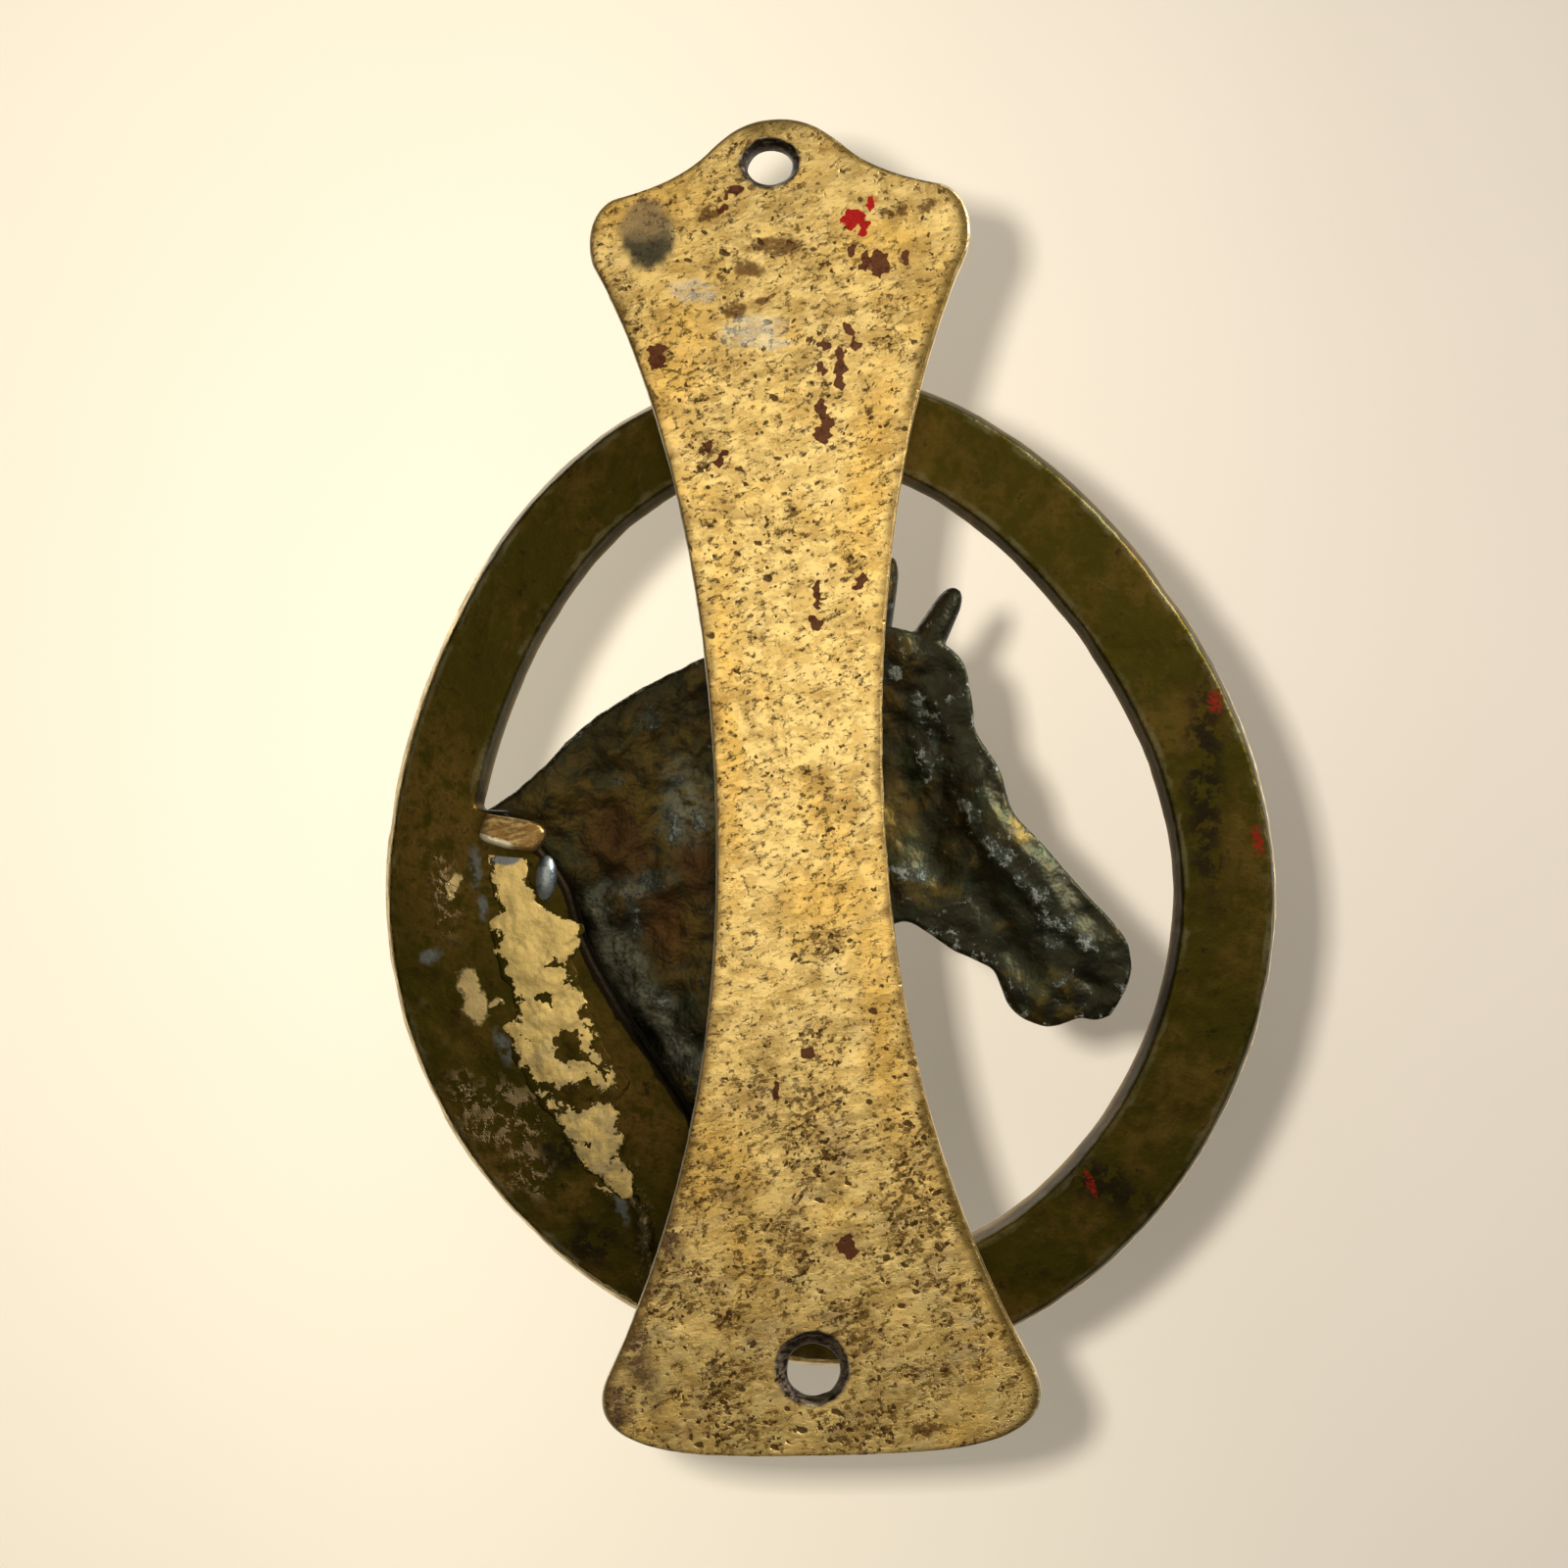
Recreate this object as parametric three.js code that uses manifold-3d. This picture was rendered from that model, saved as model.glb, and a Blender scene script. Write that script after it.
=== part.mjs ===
// Cast brass door knocker: a waisted back plate carries an egg-shaped ring on a hinge pin, and a
// horse's head in relief fills the ring. Millimetres, +Z up, the front faces -Y and the flat rear
// of the plate lies in y = 0. The origin is on the plate's centre line, halfway between its screw
// holes. Everything that swings with the ring is built where it hangs at rest.
import * as THREE from 'three';
import { mergeVertices } from 'three/addons/utils/BufferGeometryUtils.js';
import Module from 'manifold-3d';

// Back plate
const PLATE_TOP = 84.6;
const PLATE_BOTTOM = -90.5;
const WAIST_HALF = 11.1;
const WAIST_Z = -3;
const SLAB_THICK = 2.9;
const FIELD_THICK = 1.9;
const FIELD_INSET = 2.6;
const PLATE_FRONT = SLAB_THICK + FIELD_THICK;
const HOLE_SPACING = 157.7;
const HOLE_X = 0.9;
const TOP_HOLE_R = 2.9;
const BOTTOM_HOLE_R = 3.4;

// Hinge: its pin runs along X through two lugs on the plate and the knuckle on the ring
const HINGE_Y = -11.5;
const HINGE_Z = 60.5;
const PIN_R = 2.2;
const LUG_INNER = 7.6;
const LUG_THICK = 4;
const LUG_R = 4.6;
const KNUCKLE_HALF = 7.2;
const KNUCKLE_R = 4.2;
const RUNNING_GAP = 0.3;

// Ring: a polar egg about its own centre, leaning a little to one side. Its band is widest
// towards SWELL_TURN.
const RING_X = -2.6;
const RING_Z = -14.85;
const RING_LEAN = 0.104;
const EGG = { mean: 63.4, oval: -3.8, point: -1.0, square: 0.8 };
const RING_REAR = -8;
const RING_DEPTH = 7;
const BAND = 13.1;
const BAND_SWELL = 0.8;
const SWELL_TURN = -2.6;
const BAND_CROWN = 4.2;
const REAR_TUCK = 1.1;
const WEB_THICK = 3.5;

// Horse's head: it lies in front of the web, with its rim on this plane
const HEAD_RIM_Y = -12.6;
const RIM_BACK = 0.8;
const BASE_CLEARANCE = 0.5;

// Strike stud, in the plate above the lower screw hole
const STUD_Z = -70.3;
const STUD_R = 3;
const STUD_SHANK_R = 1.6;

const wasm = await Module();
wasm.setup();

// ---- helpers ----

// A closed geometry as a solid that can be joined and cut.
function toSolid(geometry) {
  const bare = geometry.clone();
  bare.deleteAttribute('normal');
  bare.deleteAttribute('uv');
  const merged = mergeVertices(bare, 1e-4);
  const vertProperties = new Float32Array(merged.attributes.position.array);
  const triVerts = new Uint32Array(merged.index.array);
  return new wasm.Manifold(new wasm.Mesh({ numProp: 3, vertProperties, triVerts }));
}

function toGeometry(solid) {
  const mesh = solid.getMesh();
  const geometry = new THREE.BufferGeometry();
  geometry.setAttribute('position', new THREE.BufferAttribute(new Float32Array(mesh.vertProperties), 3));
  geometry.setIndex(new THREE.BufferAttribute(new Uint32Array(mesh.triVerts), 1));
  geometry.computeVertexNormals();
  return geometry;
}

// Closed rows of points joined row to row: a tube that is open-ended and capped, or runs round
// on itself when `endless` is set. Faces are turned outwards by the sign of the volume.
function loft(rows, endless = false) {
  const count = rows[0].length;
  const points = rows.flat();
  const index = [];
  const bands = endless ? rows.length : rows.length - 1;
  for (let i = 0; i < bands; i += 1) {
    const low = i * count;
    const high = ((i + 1) % rows.length) * count;
    for (let j = 0; j < count; j += 1) {
      const k = (j + 1) % count;
      index.push(low + j, high + j, high + k, low + j, high + k, low + k);
    }
  }
  if (!endless) {
    capRow(rows[0], 0, points, index, true);
    capRow(rows.at(-1), (rows.length - 1) * count, points, index, false);
  }
  if (signedVolume(points, index) < 0) index.reverse();
  const geometry = new THREE.BufferGeometry().setFromPoints(points);
  geometry.setIndex(index);
  return geometry;
}

function capRow(row, first, points, index, flip) {
  const centre = row.reduce((sum, p) => sum.add(p), new THREE.Vector3()).divideScalar(row.length);
  const hub = points.push(centre) - 1;
  for (let j = 0; j < row.length; j += 1) {
    const k = (j + 1) % row.length;
    index.push(hub, first + (flip ? j : k), first + (flip ? k : j));
  }
}

function signedVolume(points, index) {
  let sum = 0;
  for (let i = 0; i < index.length; i += 3) {
    const [a, b, c] = [points[index[i]], points[index[i + 1]], points[index[i + 2]]];
    sum += a.dot(b.clone().cross(c));
  }
  return sum;
}

// A shape drawn in X and Z, given a thickness from `rear` towards the front.
function frontExtrusion(shape, rear, thick, bevel = {}) {
  const { size = 0, rise = size, inset = 0, steps = 2, curve = 10 } = bevel;
  const geometry = new THREE.ExtrudeGeometry(shape, {
    depth: thick - 2 * rise,
    curveSegments: curve,
    bevelEnabled: size > 0,
    bevelSize: size,
    bevelThickness: rise,
    bevelOffset: -size - inset,
    bevelSegments: steps,
  });
  return geometry.translate(0, 0, rise).rotateX(Math.PI / 2).translate(0, rear, 0);
}

// A turned piece whose axis runs front to back: `profile` holds [radius, y] pairs.
function turnedAlongY(profile, x, z, sides = 24) {
  const points = profile.map(([r, y]) => new THREE.Vector2(r, y));
  return new THREE.LatheGeometry(points, sides).translate(x, 0, z);
}

// A turned piece on the hinge axis: `profile` holds [radius, x] pairs.
function turnedAlongHinge(profile, sides = 24) {
  const points = profile.map(([r, x]) => new THREE.Vector2(r, x));
  return new THREE.LatheGeometry(points, sides).rotateZ(-Math.PI / 2).translate(0, HINGE_Y, HINGE_Z);
}

function hingeBore(radius, half) {
  return toSolid(turnedAlongHinge([[0, -half], [radius, -half], [radius, half], [0, half]]));
}

// ---- back plate ----

// The right half runs from the peak over the shoulder and the waist to the foot; the left half
// is its mirror image.
const PLATE_SIDE = [
  [[0, PLATE_TOP], [4.2, PLATE_TOP], [6.9, 82.6], [9.2, 80.4]],
  [[9.2, 80.4], [11.6, 78.3], [15.5, 76.4], [21.2, 75.2]],
  [[21.2, 75.2], [23.9, 74.6], [25.8, 70.9], [24.6, 66.5]],
  [[24.6, 66.5], [15.2, 47.8], [WAIST_HALF, 21], [WAIST_HALF, WAIST_Z]],
  [[WAIST_HALF, WAIST_Z], [WAIST_HALF, -31], [15.7, -55], [28.0, -79.5]],
  [[28.0, -79.5], [29.5, -82.6], [29.2, -85.6], [25.4, -87.7]],
  [[25.4, -87.7], [20.5, PLATE_BOTTOM], [10, PLATE_BOTTOM], [0, PLATE_BOTTOM]],
];

function plateOutline() {
  const shape = new THREE.Shape();
  shape.moveTo(0, PLATE_TOP);
  for (const [, a, b, end] of PLATE_SIDE) shape.bezierCurveTo(...a, ...b, ...end);
  for (const [start, a, b] of PLATE_SIDE.toReversed()) {
    shape.bezierCurveTo(-b[0], b[1], -a[0], a[1], -start[0], start[1]);
  }
  return shape;
}

// A screw hole with a rough funnel at the rear and a countersink for the screw's head in front.
function screwHole(z, bore, funnelR, funnelDepth) {
  const sink = bore + 1.4;
  return toSolid(turnedAlongY([
    [0, -PLATE_FRONT - 1],
    [sink, -PLATE_FRONT - 1],
    [sink, -PLATE_FRONT],
    [bore, -PLATE_FRONT + 1.4],
    [bore, -funnelDepth],
    [funnelR, 0],
    [funnelR, 1],
    [0, 1],
  ], HOLE_X, z));
}

// One hinge lug, a round-ended tongue that flares where it grows out of the plate.
function hingeLug(side) {
  const reach = -HINGE_Y;
  const root = SLAB_THICK - 0.5;
  const shape = new THREE.Shape();
  shape.moveTo(root, -6.6);
  shape.lineTo(PLATE_FRONT, -6.2);
  shape.quadraticCurveTo(PLATE_FRONT + 0.9, -LUG_R, reach - 2, -LUG_R);
  shape.absarc(reach, 0, LUG_R, -Math.PI / 2, Math.PI / 2);
  shape.lineTo(reach - 2, LUG_R);
  shape.quadraticCurveTo(PLATE_FRONT + 0.9, LUG_R, PLATE_FRONT, 6.2);
  shape.lineTo(root, 6.6);
  shape.closePath();
  const geometry = new THREE.ExtrudeGeometry(shape, {
    depth: LUG_THICK - 1,
    curveSegments: 12,
    bevelSize: 0.5,
    bevelThickness: 0.5,
    bevelOffset: -0.5,
    bevelSegments: 2,
  });
  const outward = new THREE.Vector3(0, -1, 0);
  const up = new THREE.Vector3(0, 0, 1);
  const across = new THREE.Vector3(-1, 0, 0);
  geometry.translate(0, 0, -(LUG_THICK - 1) / 2);
  geometry.applyMatrix4(new THREE.Matrix4().makeBasis(outward, up, across));
  return toSolid(geometry.translate(side * (LUG_INNER + LUG_THICK / 2), 0, HINGE_Z));
}

function backPlate() {
  const outline = plateOutline();
  const slab = frontExtrusion(outline, 0, SLAB_THICK, { size: 0.4, steps: 1 });
  const fieldBevel = { size: 1.4, rise: 1.0, inset: FIELD_INSET, steps: 3 };
  const field = frontExtrusion(outline, -SLAB_THICK + 1.3, FIELD_THICK + 1.3, fieldBevel);
  const shank = [[0, -PLATE_FRONT - 1], [STUD_SHANK_R + RUNNING_GAP, -PLATE_FRONT - 1],
    [STUD_SHANK_R + RUNNING_GAP, -2], [0, -2]];
  return toSolid(slab)
    .add(toSolid(field))
    .add(hingeLug(1))
    .add(hingeLug(-1))
    .subtract(screwHole(HOLE_SPACING / 2, TOP_HOLE_R, 4, 1.3))
    .subtract(screwHole(-HOLE_SPACING / 2, BOTTOM_HOLE_R, 4.9, 1.9))
    .subtract(toSolid(turnedAlongY(shank, 0, STUD_Z)))
    .subtract(hingeBore(PIN_R + RUNNING_GAP, 20));
}

// ---- ring ----

// How wide the band is at angle `turn`.
const bandWidth = (turn) => BAND + BAND_SWELL * Math.cos(turn - SWELL_TURN);

// The egg's outermost line at angle `turn`, moved inwards by `inset` along its normal.
function eggPoint(turn, inset = 0) {
  const at = (angle) => {
    const own = angle + RING_LEAN;
    const r = EGG.mean + EGG.oval * Math.cos(2 * own) + EGG.point * Math.sin(3 * own)
      + EGG.square * Math.cos(4 * own);
    return new THREE.Vector2(RING_X + r * Math.cos(angle), RING_Z + r * Math.sin(angle));
  };
  const along = at(turn + 0.01).sub(at(turn - 0.01)).normalize();
  return at(turn).add(new THREE.Vector2(-along.y, along.x).multiplyScalar(inset));
}

// The ring's section: [inset from the outermost line, depth in front of its rear face]. The
// front is a flattened dome and the rear is flat, tucked in at both edges.
function bandSection(width, steps = 10) {
  const section = [[width - REAR_TUCK * 0.8, 0], [REAR_TUCK, 0]];
  const waist = RING_DEPTH - BAND_CROWN;
  for (let i = 0; i <= steps; i += 1) {
    const turn = (Math.PI * i) / steps;
    const flat = Math.sign(Math.cos(turn)) * Math.abs(Math.cos(turn)) ** 0.8;
    section.push([(width / 2) * (1 - flat), waist + BAND_CROWN * Math.sin(turn) ** 0.8]);
  }
  return section;
}

function band(stations = 88) {
  const rows = [];
  for (let i = 0; i < stations; i += 1) {
    const turn = (2 * Math.PI * i) / stations;
    rows.push(bandSection(bandWidth(turn)).map(([inset, depth]) => {
      const p = eggPoint(turn, inset);
      return new THREE.Vector3(p.x, RING_REAR - depth, p.y);
    }));
  }
  return toSolid(loft(rows, true));
}

// The neck that joins the knuckle's barrel to the top of the ring.
function knuckle() {
  const shape = new THREE.Shape();
  shape.moveTo(-KNUCKLE_HALF, HINGE_Z);
  shape.lineTo(-KNUCKLE_HALF, HINGE_Z - 5.6);
  shape.quadraticCurveTo(-KNUCKLE_HALF - 0.6, HINGE_Z - 8, -15, HINGE_Z - 12.6);
  shape.lineTo(17, HINGE_Z - 12);
  shape.quadraticCurveTo(KNUCKLE_HALF + 0.6, HINGE_Z - 7.2, KNUCKLE_HALF, HINGE_Z - 5.6);
  shape.lineTo(KNUCKLE_HALF, HINGE_Z);
  shape.closePath();
  const neck = frontExtrusion(shape, RING_REAR - 0.2, RING_DEPTH - 0.8, { size: 0.5, steps: 1 });
  const half = KNUCKLE_HALF;
  const barrel = turnedAlongHinge([[0, -half], [KNUCKLE_R - 0.5, -half], [KNUCKLE_R, -half + 0.5],
    [KNUCKLE_R, half - 0.5], [KNUCKLE_R - 0.5, half], [0, half]]);
  return toSolid(neck).add(toSolid(barrel));
}

// The flat web between the ring and the horse's neck. Its free edge steps down from the crest
// to the foot of the throat.
const WEB_EDGE = [[39.8, -4.6], [32.4, -13.6], [29.6, -22.8], [24.8, -32.2], [18.6, -42],
  [12, -54], [6, -67]];

function web() {
  const edge = new THREE.SplineCurve(WEB_EDGE.map((p) => new THREE.Vector2(...p)));
  const points = edge.getPoints(24);
  const buried = [];
  for (let turn = -1.38; turn <= 0.21; turn += 0.1) buried.push(eggPoint(turn, BAND / 2));
  const shape = new THREE.Shape([...points, ...buried]);
  return toSolid(frontExtrusion(shape, RING_REAR, WEB_THICK));
}

function knockerRing() {
  return band()
    .add(knuckle())
    .add(web())
    .subtract(hingeBore(PIN_R + RUNNING_GAP, 20));
}

// ---- horse's head ----

// Pairs of points across the neck and head: the crest, forehead and nose on one side, and the
// throat, jaw and lips on the other.
const HEAD_PAIRS = [
  [[39.4, -5.0], [3.0, -66.2]],
  [[34.2, -0.9], [1.5, -56]],
  [[27.2, 6.6], [-0.5, -47]],
  [[20.0, 11.7], [-3.0, -38.5]],
  [[11.1, 15.8], [-6.0, -31]],
  [[2.3, 18.4], [-8.8, -25.6]],
  [[-5.8, 19.5], [-11.3, -22.3]],
  [[-13.1, 18.6], [-13.8, -21.8]],
  [[-19.6, 16.2], [-16.5, -23.4]],
  [[-22.6, 13.2], [-19.6, -25.7]],
  [[-23.6, 8.3], [-23.0, -27.4]],
  [[-24.0, 4.0], [-25.1, -28.7]],
  [[-27.0, -1.5], [-26.1, -31.0]],
  [[-28.6, -7.1], [-27.0, -33.4]],
  [[-32.5, -11.8], [-28.6, -35.2]],
  [[-37.5, -18.0], [-30.8, -36.3]],
  [[-41.2, -22.2], [-33.4, -36.6]],
  [[-43.4, -25.4], [-36.6, -35.7]],
  [[-43.9, -28.5], [-38.8, -35.9]],
  [[-43.2, -31.4], [-40.9, -35.3]],
];
const NECK_TURNS = [0.19, -1.48];
const NECK_FADE = 0.3;

const side = (k) => new THREE.SplineCurve(HEAD_PAIRS.map((pair) => new THREE.Vector2(...pair[k])));
const UPPER = side(0);
const LOWER = side(1);

// A point of the silhouette: `along` runs from the ring to the lips and `across` from the crest
// to the throat. The first row lies on the ring's inner line, and that bow fades up the neck.
function headPoint(along, across) {
  const straight = (s) => UPPER.getPoint(s).lerp(LOWER.getPoint(s), across);
  const turn = THREE.MathUtils.lerp(NECK_TURNS[0], NECK_TURNS[1], across);
  const bow = eggPoint(turn, bandWidth(turn) + BASE_CLEARANCE).sub(straight(0));
  const fade = Math.max(0, 1 - along / NECK_FADE) ** 2;
  return straight(along).add(bow.multiplyScalar(fade));
}

// How far the relief stands in front of its rim, and how deep its back is hollowed.
const reliefHeight = (along) => 6.4 + 1.6 * Math.sin(Math.PI * Math.min(1, along * 1.25)) - 2.4 * along ** 4;
const hollowDepth = (along) => 2.6 * THREE.MathUtils.smoothstep(0.62 - along, 0, 0.35);

function headRow(along, steps = 20) {
  const row = [];
  for (let i = 0; i < steps; i += 1) {
    const turn = (2 * Math.PI * i) / steps;
    const p = headPoint(along, (1 - Math.cos(turn)) / 2);
    const swell = Math.abs(Math.sin(turn));
    const front = -reliefHeight(along) * swell ** 0.75;
    const rear = RIM_BACK * swell ** 0.5 - hollowDepth(along) * swell ** 3;
    row.push(new THREE.Vector3(p.x, HEAD_RIM_Y + (turn < Math.PI ? front : rear), p.y));
  }
  return row;
}

// An ear, a long rounded leaf from its root to its tip.
function ear([rootX, rootZ], [tipX, tipZ], y, half, thick) {
  const long = Math.hypot(tipX - rootX, tipZ - rootZ) / 2;
  const lean = Math.atan2(tipX - rootX, tipZ - rootZ);
  const geometry = new THREE.SphereGeometry(1, 16, 12).rotateX(Math.PI / 2).scale(half, thick, long);
  geometry.rotateY(lean).translate((rootX + tipX) / 2, y, (rootZ + tipZ) / 2);
  return toSolid(geometry);
}

function horseHead(stations = 38) {
  const rows = [];
  for (let i = 0; i <= stations; i += 1) rows.push(headRow(i / stations));
  const cheek = new THREE.SphereGeometry(1, 20, 12).scale(9.5, 3, 9.5).translate(-15.5, -18.6, -9.5);
  return toSolid(loft(rows))
    .add(toSolid(cheek))
    .add(ear([-15.8, 13], [-22.2, 23.6], HEAD_RIM_Y - 1.6, 2.5, 2.2))
    .add(ear([-9.6, 14], [-13.3, 28.6], HEAD_RIM_Y - 4, 2.4, 2));
}

// ---- braze and fastenings ----

// The run of pale filler over the web, laid on the rear face of the ring.
const BRAZE_EDGE = [[42.9, -11.3], [42.4, -17], [42.3, -23], [41.2, -27.5], [39.8, -31.5], [40.2, -35.5], [38.6, -40.5],
  [37.4, -44.7], [35, -47.2], [33, -49.6], [30.6, -53.4], [28, -55.6], [24.8, -57.6], [24.7, -52], [25.4, -47.5],
  [25.2, -42.2], [27, -38.6], [28.4, -34.8], [29.9, -30.4], [31, -26.5], [30.8, -22], [31.2, -19.8], [35.2, -18.4],
  [36.9, -16.2], [37.4, -12.6]];

function brazeRun() {
  const edge = new THREE.SplineCurve([...BRAZE_EDGE, BRAZE_EDGE[0]].map((p) => new THREE.Vector2(...p)));
  const shape = new THREE.Shape(edge.getPoints(60).slice(0, -1));
  return frontExtrusion(shape, RING_REAR + 0.45, 0.45);
}

// The raised tab of filler that bridges the crest and the ring: a leaning strip with soft corners.
function brazeTab() {
  const shape = new THREE.Shape();
  shape.moveTo(42.7, -4.9);
  shape.quadraticCurveTo(38.6, -5.3, 35.2, -6.7);
  shape.quadraticCurveTo(34.4, -8.8, 36.0, -10.4);
  shape.quadraticCurveTo(39.8, -10.2, 43.4, -8.5);
  shape.quadraticCurveTo(44.1, -6.5, 42.7, -4.9);
  const pad = frontExtrusion(shape, RING_REAR + 1.1, 2.2, { size: 0.6, steps: 2, curve: 5 });
  return toSolid(pad).intersect(toSolid(new THREE.BoxGeometry(20, 4, 20).translate(39, RING_REAR + 2, -7)));
}

function solderBead() {
  const [x, z] = [34.9, -13.9];
  const bead = new THREE.SphereGeometry(1, 20, 12).scale(1.5, 1.2, 3.1).rotateY(-0.1);
  const above = new THREE.BoxGeometry(10, 4, 10).translate(x, RING_REAR + 2, z);
  return toSolid(bead.translate(x, RING_REAR, z)).intersect(toSolid(above));
}

// The pin, with a peened head outside each lug.
function hingePin() {
  const shoulder = LUG_INNER + LUG_THICK + RUNNING_GAP;
  const end = shoulder + 1.3;
  const rise = [[0, end], [2.0, end - 0.2], [2.9, end - 0.7], [2.9, shoulder], [PIN_R, shoulder]];
  const mirrored = rise.map(([r, x]) => [r, -x]);
  return turnedAlongHinge([...mirrored, ...rise.toReversed()]);
}

// The stud that the ring strikes: a domed button on a shank pressed into the plate.
function strikeStud() {
  const seat = -PLATE_FRONT - RUNNING_GAP;
  const crown = RING_REAR + RUNNING_GAP;
  return turnedAlongY([
    [0, crown],
    [1.6, crown + 0.15],
    [2.6, crown + 0.8],
    [STUD_R, crown + 1.7],
    [STUD_R, seat],
    [STUD_SHANK_R, seat],
    [STUD_SHANK_R, -2 - RUNNING_GAP],
    [0, -2 - RUNNING_GAP],
  ], 0, STUD_Z);
}

// ---- assembly ----

const brass = { color: 0xb08d4a, roughness: 0.42, metalness: 0.9 };
const patina = { color: 0x3a3312, roughness: 0.5, metalness: 0.7 };
const darkBronze = { color: 0x1d2620, roughness: 0.45, metalness: 0.6 };
const filler = { color: 0xcbac62, roughness: 0.55, metalness: 0.8 };
const solder = { color: 0x9aa3a2, roughness: 0.4, metalness: 0.9 };

function piece(name, shape, finish) {
  const geometry = shape.isBufferGeometry ? shape : toGeometry(shape);
  const mesh = new THREE.Mesh(geometry, new THREE.MeshStandardMaterial(finish));
  mesh.name = name;
  return mesh;
}

const fixed = new THREE.Group();
fixed.add(piece('back_plate', backPlate(), brass));
fixed.add(piece('hinge_pin', hingePin(), brass));
fixed.add(piece('strike_stud', strikeStud(), brass));

const swinging = new THREE.Group();
swinging.add(piece('knocker_ring', knockerRing(), patina));
swinging.add(piece('horse_head', horseHead(), darkBronze));
swinging.add(piece('braze_run', brazeRun(), filler));
swinging.add(piece('braze_tab', brazeTab(), filler));
swinging.add(piece('solder_bead', solderBead(), solder));

const knocker = new THREE.Group();
knocker.add(fixed, swinging);

export default knocker;
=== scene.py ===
"""Door knocker in aged brass: a waisted back plate, a swinging ring and a horse's head within it.

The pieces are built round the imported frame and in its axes: +Z up, the front faces -Y, and the flat
rear of the plate lies in y = 0. Shapes are worked out in millimetres and stored in metres.
"""

import math

import bmesh
import bpy
import numpy as np
from mathutils import Matrix, Vector


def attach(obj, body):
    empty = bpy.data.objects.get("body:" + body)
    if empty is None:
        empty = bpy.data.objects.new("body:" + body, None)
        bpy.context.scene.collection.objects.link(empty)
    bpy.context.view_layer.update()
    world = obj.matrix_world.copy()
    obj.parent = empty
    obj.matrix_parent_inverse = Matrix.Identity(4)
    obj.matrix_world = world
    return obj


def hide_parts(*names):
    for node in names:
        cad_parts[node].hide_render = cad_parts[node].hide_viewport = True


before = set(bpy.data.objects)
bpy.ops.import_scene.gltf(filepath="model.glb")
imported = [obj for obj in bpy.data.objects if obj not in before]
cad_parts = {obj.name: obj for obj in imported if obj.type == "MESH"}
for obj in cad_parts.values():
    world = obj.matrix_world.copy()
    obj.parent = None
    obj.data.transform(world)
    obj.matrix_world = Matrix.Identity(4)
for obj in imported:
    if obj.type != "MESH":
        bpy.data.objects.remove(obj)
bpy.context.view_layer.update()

bl_info = {
    "name": "Horse's head door knocker",
    "version": (1, 0, 0),
    "blender": (4, 5, 0),
    "location": "3D View > Sidebar > Knocker",
    "description": "Builds an aged brass door knocker with a horse's head in its ring",
    "category": "Add Mesh",
}

MM = 0.001

# Back plate: the right half of its outline from the peak to the foot, as cubic curves.
PLATE_SIDE = [
    [(0, 84.6), (4.2, 84.6), (6.9, 82.6), (9.2, 80.4)],
    [(9.2, 80.4), (11.6, 78.3), (15.5, 76.4), (21.2, 75.2)],
    [(21.2, 75.2), (23.9, 74.6), (25.8, 70.9), (24.6, 66.5)],
    [(24.6, 66.5), (15.2, 47.8), (11.1, 21), (11.1, -3)],
    [(11.1, -3), (11.1, -31), (15.7, -55), (28.0, -79.5)],
    [(28.0, -79.5), (29.5, -82.6), (29.2, -85.6), (25.4, -87.7)],
    [(25.4, -87.7), (20.5, -90.5), (10, -90.5), (0, -90.5)],
]
SLAB_THICK = 2.9
PLATE_FRONT = 4.8
FIELD_INSET = 2.6
HOLE_X = 0.9
HOLE_Z = 78.85

# Screw holes: height, bore, funnel, the funnel's depth, seed, how far worn wide, drop of the bore
SCREW_HOLES = [
    (HOLE_Z, 2.55, 3.3, 1.3, 3, 1.18, 0.0),
    (-HOLE_Z, 3.55, 4.9, 1.9, 11, 1.0, 1.0),
]

# Hinge, whose pin runs along X
HINGE_Y = -11.5
HINGE_Z = 60.5
PIN_R = 2.2
PIN_GAP = 0.3
LUG_INNER = 7.6
LUG_THICK = 4.0
LUG_R = 4.6
KNUCKLE_HALF = 7.2
KNUCKLE_R = 4.2
NECK_Y = -11.2
NECK_HALF = 3.0

# Ring: a polar egg that leans to one side, with a band that swells towards one turn
RING_X = -2.6
RING_Z = -14.85
RING_LEAN = 0.104
RING_REAR = -8.0
RING_DEPTH = 7.0
BAND = 13.1
BAND_SWELL = 0.8
SWELL_TURN = -2.6
BAND_CROWN = 4.2
REAR_TUCK = 1.1

# Web in the ring: its free edge, and the turns of the ring that its buried edge follows
WEB_EDGE = [
    (39.8, -4.6), (32.4, -13.6), (29.6, -22.8), (24.8, -32.2), (18.6, -42), (12, -54), (6, -67),
]
WEB_TURNS = (0.21, -1.38)
WEB_FRONT = -11.5

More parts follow.
